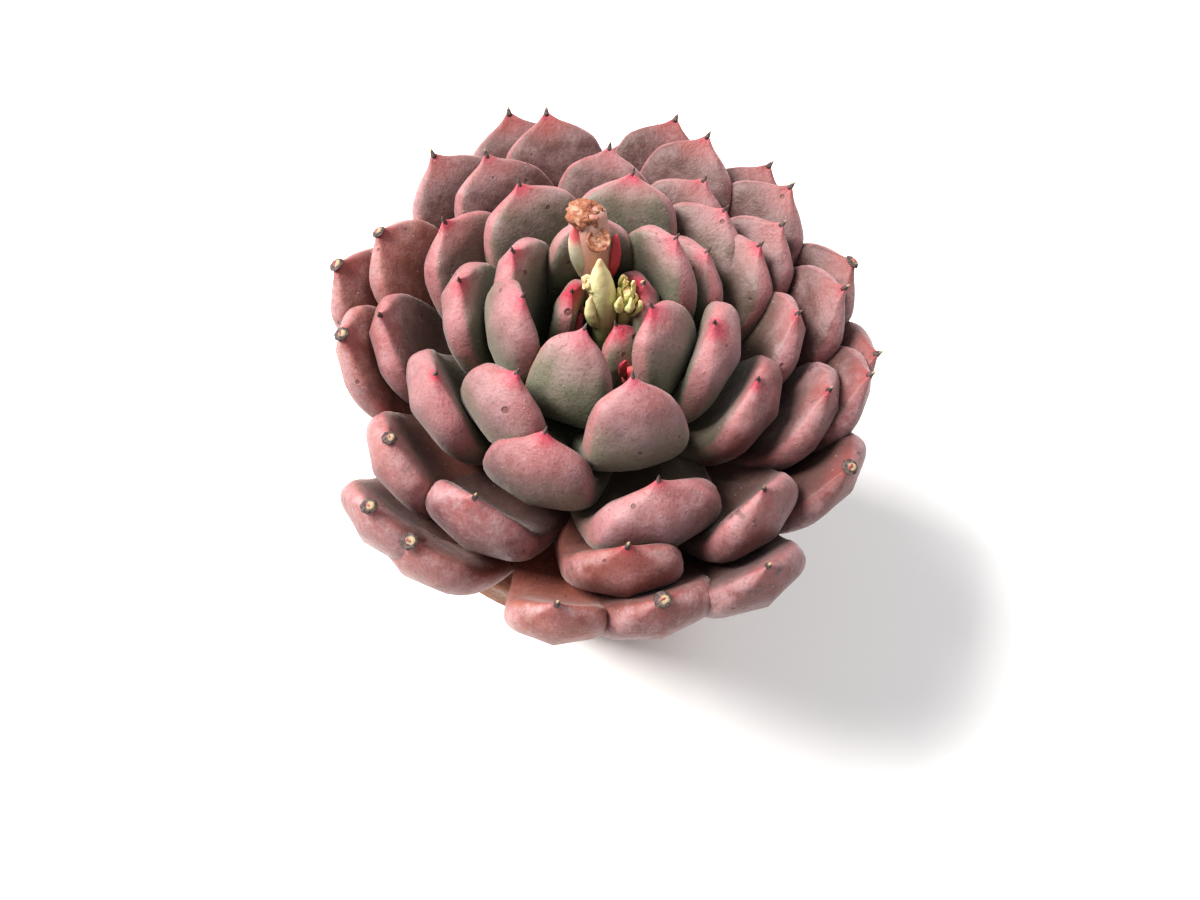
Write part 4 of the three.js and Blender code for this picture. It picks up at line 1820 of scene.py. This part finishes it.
@dataclass
class Stem:
    """The short stem under the leaves, with the scars of shed leaves by the same spiral."""

    radius: float = 4.6 * MM
    top_radius: float = 4.2 * MM
    foot_radius: float = 3.7 * MM
    low: float = SOIL_CROWN - STEM_HOLE_DEPTH + GAP
    taper_start: float = TIP_LEVEL - 20.5 * MM
    top: float = TIP_LEVEL - 13 * MM
    end_radius: float = 2.5 * MM
    gnarl_size: float = 2.2 * MM
    gnarl_depth: float = 0.25 * MM
    scar_count: int = 16
    scar_width: float = 2.6 * MM
    scar_form: Place = (0.5, 0.2, 0.16)
    scar_bend: float = 0.35
    scar_rise: float = 0.75 * MM
    lowest_scar: float = SOIL_CROWN + 0.5 * MM
    divergence: float = DIVERGENCE
    sides: int = 72

    def build(self) -> None:
        """Builds and dresses the stem and its scars."""
        shaft = np.linspace(self.low, self.top - MM, 60)
        heights = np.array([self.low, *shaft, self.top - 0.4 * MM, self.top])
        stops = [
            (self.low - MM, self.foot_radius),
            (self.low, self.foot_radius),
            (SOIL_CROWN, self.radius),
            (self.taper_start, self.radius),
            (self.top - MM, self.top_radius),
            (self.top, self.end_radius),
        ]
        radii = spline(stops, heights)[:, 0]
        radii[[0, -1]] = 0
        mesh = turned("stem", list(zip(radii, heights)), self.sides)
        move_points(mesh, crumple(points_of(mesh), self.gnarl_size, self.gnarl_depth))
        mesh.materials.append(BarkFinish().make())
        dress(new_object("stem_column", mesh), "leaf", "rosette")
        self._build_scars()

    def _build_scars(self) -> None:
        """Sets a flat crescent scar at each place of a shed leaf."""
        start = mesh_of("scar_points", np.zeros((self.scar_count, 3)), [])
        skin = Skin(np.linspace(0, 1, 7), 14)
        pad = ball_of(skin, self.scar_form)[:, [2, 0, 1]]
        pad[:, 2] += self.scar_bend * pad[:, 1] ** 2
        pad = close_outwards(mesh_of("scar", pad * self.scar_width, skin.faces()))
        scar = new_object("scar", pad)
        recipe = Recipe("leaf_scars")
        bench = recipe.bench
        number = bench.node("GeometryNodeInputIndex")
        azimuth = number * recipe.size("Divergence", self.divergence * DEGREE)
        outwards = bench.vector(bench.math("COSINE", azimuth), bench.math("SINE", azimuth), 0.0)
        rise = number * recipe.size("Rise", self.scar_rise)
        height = rise + recipe.size("Lowest", self.lowest_scar)
        place = outwards * recipe.size("Radius", self.radius - 0.1 * MM)
        points = recipe.move(recipe.points(), place + bench.vector(0.0, 0.0, height))
        turn = bench.vector(0.0, 0.0, azimuth)
        placed = recipe.place(points, recipe.shape("Scar", scar), turn)
        recipe.end(placed, BarkFinish("scar_skin", (0.42, 0.3, 0.2)).make())
        scars = new_object("stem_scars", recipe.work(new_object("scar_points", start)))
        bpy.data.objects.remove(scar)
        dress(scars, "leaf")


@dataclass(frozen=True)
class ClayFinish(Finish):
    """Unglazed clay, with turning lines and a limy bloom, and darker towards the foot."""

    clay: Tone = (0.27, 0.112, 0.066)
    light: Tone = (0.33, 0.15, 0.095)
    deep: Tone = (0.18, 0.066, 0.04)
    lime: Tone = (0.42, 0.33, 0.27)
    dark: Tone = (0.16, 0.07, 0.045)

    def make(self) -> Material:
        """Makes the material.

        Returns:
            The material.
        """
        material, paint = self.material("unglazed_clay", {"Specular IOR Level": 0.25})
        place = paint.place()
        x, y, z = paint.parts(place)
        lines = paint.noise(paint.vector(x * 0.04, y * 0.04, z), 900, 3, 0.6)
        cloud = paint.noise(place, 60, 5, 0.6)
        mottle = paint.noise(place, 300, 5, 0.65)
        grain = paint.noise(place, 2600, 4, 0.7)
        paint.colour = paint.blend(paint.smooth(cloud, 0.3, 0.7), self.clay, self.light)
        paint.lay(paint.smooth(mottle, 0.55, 0.75) * 0.6, self.deep)
        paint.lay(paint.smooth(lines, 0.35, 0.65) * 0.22, self.light)
        high = paint.smooth(z + (cloud - 0.5) * 24 * MM, 34 * MM, 50 * MM)
        low = paint.smooth(z + (cloud - 0.5) * 22 * MM, 10 * MM, 1 * MM)
        crust = paint.smooth(mottle + grain * 0.35, 0.6, 0.82) * paint.math("MAXIMUM", high, low)
        paint.lay(crust * 0.75, self.lime)
        # Darker towards the foot.
        paint.lay(paint.smooth(z, 16 * MM, 2 * MM, 0, 0.25), self.deep)
        specks = paint.spots(place, 420, 0.16, 0.12)
        paint.lay(specks * 0.6, self.dark)
        relief = lines * 0.6 + grain * 0.5 - specks + crust * 0.3
        paint.surface(0.9, relief, 0.22 * MM)
        return material


@dataclass
class ClayPot:
    """A plain turned pot with a rim band and four drain holes."""

    height: float = POT_HEIGHT
    rim_radius: float = 31 * MM
    foot_radius: float = 21 * MM
    wall: float = 3 * MM
    floor: float = 4 * MM
    band_height: float = 11 * MM
    band_step: float = 1.4 * MM
    drain_count: int = 4
    drain_radius: float = 2.5 * MM
    drain_circle: float = 12 * MM
    ripple: float = 0.07 * MM
    foot_round: float = 1.1 * MM
    band_round: float = 0.9 * MM
    lip_round: float = 1.2 * MM
    sharp_angle: float = 40.0
    sides: int = 168

    def inside(self, height: float) -> float:
        """The radius of the inside at a height."""
        foot, mouth = self.foot_radius - self.wall, self.rim_radius - self.wall
        return foot + (mouth - foot) * height / self.height

    def outline(self) -> Outline:
        """Half the pot's section, from the middle of its underside round to its floor.

        Returns:
            The radius and height of each point.
        """
        band_foot = self.height - self.band_height
        wall_top = self.rim_radius - self.band_step
        lip, lip_height = self.lip_round, self.height - self.lip_round
        points = [(0.0, 0.0), (self.foot_radius - self.foot_round - 0.1 * MM, 0.0)]
        corner = (self.foot_radius - self.foot_round, self.foot_round)
        points += self._arc(corner, self.foot_round, -90, 0, 5)
        for share in np.linspace(0.06, 0.985, 44):
            radius = self.foot_radius + (wall_top - self.foot_radius) * share
            points.append((radius + self._ripple(share * band_foot), share * band_foot))
        corner = (self.rim_radius - self.band_round, band_foot + self.band_round)
        points += self._arc(corner, self.band_round, -90, 0, 5)
        for share in np.linspace(0.15, 0.85, 12):
            height = band_foot + share * self.band_height
            points.append((self.rim_radius + self._ripple(height), height))
        points += self._arc((self.rim_radius - lip, lip_height), lip, 0, 90, 7)
        points += self._arc((self.rim_radius - self.wall + lip, lip_height), lip, 90, 180, 7)
        for height in np.linspace(self.height - 3 * MM, self.floor + 1.2 * MM, 30):
            points.append((self.inside(height) + self._ripple(height), height))
        points += [(self.inside(self.floor) - 1.2 * MM, self.floor), (0.0, self.floor)]
        return points

    def _ripple(self, height: float) -> float:
        """The faint ridges that the potter's fingers left."""
        ridges = math.sin(height / (0.9 * MM)) + 0.6 * math.sin(height / (2.3 * MM) + 1)
        return self.ripple * ridges

    @staticmethod
    def _arc(centre: tuple, radius: float, start: float, end: float, count: int) -> Outline:
        """Points on an arc of the section.

        Args:
            centre: The arc's centre, as a radius and a height.
            radius: The arc's own radius.
            start: Where it starts, in degrees up from outwards.
            end: Where it ends.
            count: How many points it has.

        Returns:
            The points.
        """
        x, z = centre
        ways = np.linspace(start, end, count) * DEGREE
        return [(x + radius * math.cos(way), z + radius * math.sin(way)) for way in ways]

    def build(self) -> None:
        """Builds and dresses the pot."""
        pot = new_object("turned_pot", turned("turned_pot", self.outline(), self.sides))
        drills = new_object("drills", self._drills())
        cut = pot.modifiers.new("drain_holes", "BOOLEAN")
        cut.object, cut.solver = drills, "EXACT"
        evaluated = pot.evaluated_get(bpy.context.evaluated_depsgraph_get())
        mesh = bpy.data.meshes.new_from_object(evaluated)
        for spent in (pot, drills):
            bpy.data.objects.remove(spent)
        mesh.materials.clear()
        mesh.materials.append(ClayFinish().make())
        mesh.set_sharp_from_angle(angle=self.sharp_angle * DEGREE)
        dress(new_object("clay_pot", mesh), "pot", "pot")

    def _drills(self) -> Mesh:
        """The four drain holes, as one mesh of round bars.

        Returns:
            The bars.
        """
        work = bmesh.new()
        for number in range(self.drain_count):
            angle = (number + 0.5) / self.drain_count * 2 * math.pi
            x, y = self.drain_circle * math.cos(angle), self.drain_circle * math.sin(angle)
            bmesh.ops.create_cone(
                work,
                cap_ends=True,
                segments=40,
                radius1=self.drain_radius,
                radius2=self.drain_radius,
                depth=self.floor * 4,
                matrix=Matrix.Translation((x, y, 0)),
            )
        mesh = bpy.data.meshes.new("drills")
        work.to_mesh(mesh)
        work.free()
        return mesh


@dataclass(frozen=True)
class SoilFinish(Finish):
    """Dark crumbly potting soil."""

    dark: Tone = (0.035, 0.022, 0.014)
    brown: Tone = (0.11, 0.065, 0.038)
    straw: Tone = (0.28, 0.19, 0.11)

    def make(self) -> Material:
        """Makes the material.

        Returns:
            The material.
        """
        material, paint = self.material("potting_soil", {"Specular IOR Level": 0.2})
        place = paint.place()
        crumb = paint.noise(place, 900, 6, 0.7)
        clump = paint.noise(place, 250, 4, 0.6)
        share = paint.smooth(clump + crumb * 0.5, 0.55, 0.95)
        paint.colour = paint.blend(share, self.dark, self.brown)
        paint.lay(paint.spots(place, 700, 0.2, 0.1) * 0.8, self.straw)
        paint.surface(0.95, crumb + clump, 0.8 * MM)
        return material


@dataclass(frozen=True)
class GritKind:
    """One kind of grit: how much there is, its size and flatness, its colours and its lie.

    Its tumble is how freely a grain turns about each axis, and it is rounded or sharp-edged.
    """

    count: int
    size: float
    flat: float
    tone: Tone
    shade: Tone
    seed: int
    tumble: Place = (1.0, 1.0, 1.0)
    rounded: bool = True


class Grit(Enum):
    """The kinds of grit in the soil."""

    PUMICE = GritKind(
        count=330, size=1.5 * MM, flat=0.8, tone=(0.66, 0.62, 0.55), shade=(0.42, 0.38, 0.32),
        seed=3,
    )
    BARK = GritKind(
        count=420, size=1.7 * MM, flat=0.35, tone=(0.2, 0.1, 0.05), shade=(0.07, 0.035, 0.02),
        seed=5, tumble=(0.12, 0.12, 1.0), rounded=False,
    )
    GRAVEL = GritKind(
        count=420, size=1.1 * MM, flat=0.7, tone=(0.34, 0.27, 0.22), shade=(0.16, 0.12, 0.1),
        seed=8,
    )


@dataclass(frozen=True)
class GritFinish(Finish):
    """The skin of one kind of grit."""

    kind: Grit

    def make(self) -> Material:
        """Makes the material.

        Returns:
            The material.
        """
        material, paint = self.material(self.kind.name.lower(), {"Specular IOR Level": 0.25})
        place = paint.place()
        chance = paint.named("chance")
        grain = paint.noise(place, 2500, 4, 0.7)
        share = paint.smooth(chance + (grain - 0.5) * 0.8, 0.1, 0.9)
        paint.colour = paint.blend(share, self.kind.value.shade, self.kind.value.tone)
        paint.surface(0.9, grain, 0.3 * MM)
        return material


@dataclass
class PottingSoil:
    """The crowned soil that fills the pot, with loose grit on it."""

    pot: ClayPot
    edge: float = 46.5 * MM
    hole: float = 4.9 * MM
    hole_depth: float = STEM_HOLE_DEPTH
    shoulder: float = 0.55
    shoulder_rise: float = 0.8
    lump: float = 0.5 * MM
    lump_size: float = 1.3 * MM
    crumb_size: float = 0.5 * MM
    crumb_share: float = 0.6
    sides: int = 140
    pebble_width: float = 0.75
    drop_height: float = 60 * MM

    def build(self) -> None:
        """Builds and dresses the soil and its grit."""
        mesh = turned("soil_body", self.outline(), self.sides)
        points = points_of(mesh)
        within = self.pot.inside(self.edge) - GAP - 0.4 * MM
        loose = points[:, 2] > self.edge - 0.2 * MM
        loose &= np.hypot(points[:, 0], points[:, 1]) < within
        points[loose, 2] += [self._lift(point) for point in points[loose]]
        move_points(mesh, points)
        mesh.materials.append(SoilFinish().make())
        soil = new_object("soil_body", mesh)
        dress(soil, "soil", "soil")
        for kind in Grit:
            self._build_grit(kind, soil)

    def outline(self) -> Outline:
        """Half the soil's section, from the middle of its underside to the foot of its hole.

        Returns:
            The radius and height of each point.
        """
        floor = self.pot.floor + GAP
        mouth = self.pot.inside(self.edge)
        points = [(0.0, floor), (self.pot.inside(floor) - GAP, floor)]
        for height in np.linspace(floor + 2 * MM, self.edge - 0.5 * MM, 12):
            points.append((self.pot.inside(height) - GAP, height))
        shoulder_height = self.edge + (SOIL_CROWN - self.edge) * self.shoulder_rise
        stops = [
            (0, mouth - GAP, self.edge),
            (0.45, mouth * self.shoulder, shoulder_height),
            (1, self.hole, SOIL_CROWN),
        ]
        points += [tuple(point) for point in spline(stops, np.linspace(0, 1, 44))]
        hole_foot = SOIL_CROWN - self.hole_depth
        return points + [(self.hole, hole_foot), (0.0, hole_foot)]

    def _lift(self, point: np.ndarray) -> float:
        """How far lumps and crumbs lift a point of the top."""
        lumps = self.lump * noise(Vector(point / self.lump_size))
        return lumps + self.crumb_share * self.lump * noise(Vector(point / self.crumb_size))

    def _build_grit(self, kind: Grit, soil: Piece) -> None:
        """Scatters one kind of grit on the soil.

        Args:
            kind: The kind.
            soil: The finished soil.
        """
        grit = kind.value
        pebble = self._pebble(grit)
        recipe = Recipe("scattered_" + kind.name.lower())
        bench = recipe.bench
        ray = {
            "Target Geometry": recipe.shape("Soil", soil),
            "Ray Direction": (0.0, 0.0, -1.0),
            "Ray Length": 0.1,
        }
        hit = bench.node("GeometryNodeRaycast", None, ray, "Hit Position")
        lift = recipe.size("Lift", grit.size * grit.flat * 0.2)
        points = recipe.move(recipe.points(), hit + bench.vector(0.0, 0.0, lift))
        turn = recipe.vector_field("turn") * grit.tumble
        shape = recipe.shape("Pebble", pebble)
        stones = recipe.place(points, shape, turn, recipe.field("big"))
        here = bench.node("GeometryNodeInputPosition")
        sockets = {"Vector": here, "Scale": 0.9 / grit.size, "Detail": 2.0}
        wave = bench.node("ShaderNodeTexNoise", None, sockets, "Color") - (0.5, 0.5, 0.5)
        stones = recipe.shift(stones, wave * recipe.size("Roughness", grit.size * 0.5))
        recipe.end(stones, GritFinish(kind).make())
        mesh = recipe.work(new_object("grit_points", self._scatter(grit)))
        bpy.data.objects.remove(pebble)
        if grit.rounded:
            mesh.shade_smooth()
        dress(new_object("soil_" + kind.name.lower(), mesh), "soil")

    def _pebble(self, grit: GritKind) -> Piece:
        """One even pebble at the origin."""
        skin = Skin(np.linspace(0, 1, 6), 7)
        points = ball_of(skin, (1.0, self.pebble_width, grit.flat)) * grit.size / 2
        return new_object("pebble", close_outwards(mesh_of("pebble", points, skin.faces())))

    def _scatter(self, grit: GritKind) -> Mesh:
        """A point over the soil for each grain, with its own colour, turn and size.

        Args:
            grit: The kind of grit.

        Returns:
            The points, as a mesh without faces.
        """
        draws = np.random.default_rng(grit.seed)
        nearest, furthest = self.hole + MM, self.pot.inside(self.edge) - 1.6 * MM
        radius = np.sqrt(draws.uniform(nearest**2, furthest**2, grit.count))
        way = draws.uniform(0, 2 * math.pi, grit.count)
        fields = {
            "chance": draws.random(grit.count),
            "turn": draws.uniform(-3, 3, (grit.count, 3)),
            "big": draws.uniform(0.5, 1.15, grit.count),
        }
        height = np.full(grit.count, self.drop_height)
        points = np.stack([radius * np.cos(way), radius * np.sin(way), height], 1)
        return mesh_of("grit_points", points, [], fields)


# The studio


@dataclass
class Studio:
    """The pale floor, the soft lights and the camera."""

    floor_half: float = 1.6
    floor_tone: Tone = (0.93, 0.93, 0.93)
    surround: float = 0.42
    camera_place: Place = (-0.6 * MM, -64.85 * MM, TIP_LEVEL + 104.9 * MM)
    camera_azimuth: float = -1.94
    camera_elevation: float = 66.21
    camera_roll: float = 0.101
    sensor_width: float = 36.0
    focal_share: float = 985 / 1200

    def build(self) -> None:
        """Builds the stage."""
        self.floor()
        self.lights()
        self.camera()
        bpy.context.scene.view_settings.view_transform = "Standard"
        bpy.context.scene.view_settings.look = "Medium High Contrast"

    def floor(self) -> None:
        """A plain pale floor."""
        half = self.floor_half
        corners = [(-half, -half, 0), (half, -half, 0), (half, half, 0), (-half, half, 0)]
        mesh = mesh_of("floor", np.array(corners), [[0, 1, 2, 3]])
        floor = new_object("floor", mesh)
        constants = {"Roughness": 0.9, "Base Color": self.floor_tone}
        material, _ = Finish().material("pale_floor", constants)
        mesh.materials.append(material)

    def lights(self) -> None:
        """A broad key light from the left, with a fill and a bright surround."""
        world = bpy.data.worlds.new("surround")
        bpy.context.scene.world = world
        world.use_nodes = True
        background = world.node_tree.nodes["Background"]
        background.inputs["Color"].default_value = (1, 1, 1, 1)
        background.inputs["Strength"].default_value = self.surround
        self.light("key", (-0.7, 0.15, 0.95), 0.45, 24.5, (1.0, 0.98, 0.95))
        self.light("back", (0.3, 0.6, 0.8), 0.5, 3.0, (0.97, 0.98, 1.0))

    def light(self, name: str, place: Place, size: float, power: float, tone: Tone) -> None:
        """A square soft light that looks at the rosette.

        Args:
            name: The light's name.
            place: Where it is.
            size: How wide it is.
            power: Its power, in watts.
            tone: Its colour.
        """
        data = bpy.data.lights.new(name, "AREA")
        data.size, data.energy, data.color = size, power, tone
        light = bpy.data.objects.new(name, data)
        bpy.context.scene.collection.objects.link(light)
        light.location = place
        aim = Vector((0, 0, TIP_LEVEL)) - Vector(place)
        light.rotation_euler = aim.to_track_quat("-Z", "Y").to_euler()

    def camera(self) -> None:
        """The camera, at the photograph's viewing angle."""
        data = bpy.data.cameras.new("camera")
        data.sensor_width = self.sensor_width
        data.lens = self.sensor_width * self.focal_share
        data.clip_start, data.clip_end = 0.01, 10
        camera = bpy.data.objects.new("camera", data)
        bpy.context.scene.collection.objects.link(camera)
        azimuth, elevation = self.camera_azimuth * DEGREE, self.camera_elevation * DEGREE
        level = math.cos(elevation)
        away = (math.sin(azimuth) * level, -math.cos(azimuth) * level, math.sin(elevation))
        back = Vector(away)
        right = Vector((math.cos(azimuth), math.sin(azimuth), 0))
        up = back.cross(right)
        turned_right = right * math.cos(self.camera_roll) + up * math.sin(self.camera_roll)
        turned_up = up * math.cos(self.camera_roll) - right * math.sin(self.camera_roll)
        matrix = Matrix((turned_right, turned_up, back)).transposed().to_4x4()
        matrix.translation = self.camera_place
        camera.matrix_world = matrix
        bpy.context.scene.camera = camera


def main() -> None:
    """Builds every piece in order."""
    logging.basicConfig(level=logging.INFO, format="%(name)s %(message)s")
    seed_set(FOLD_SEED)
    Studio().build()
    pot = ClayPot()
    sprouts = (FlowerStalk(), YoungShoot(), SmallShoot(), CrimsonBud())
    for piece in (pot, PottingSoil(pot), Stem(), Rosette(), *sprouts):
        piece.build()


if __name__ == "__main__":
    main()
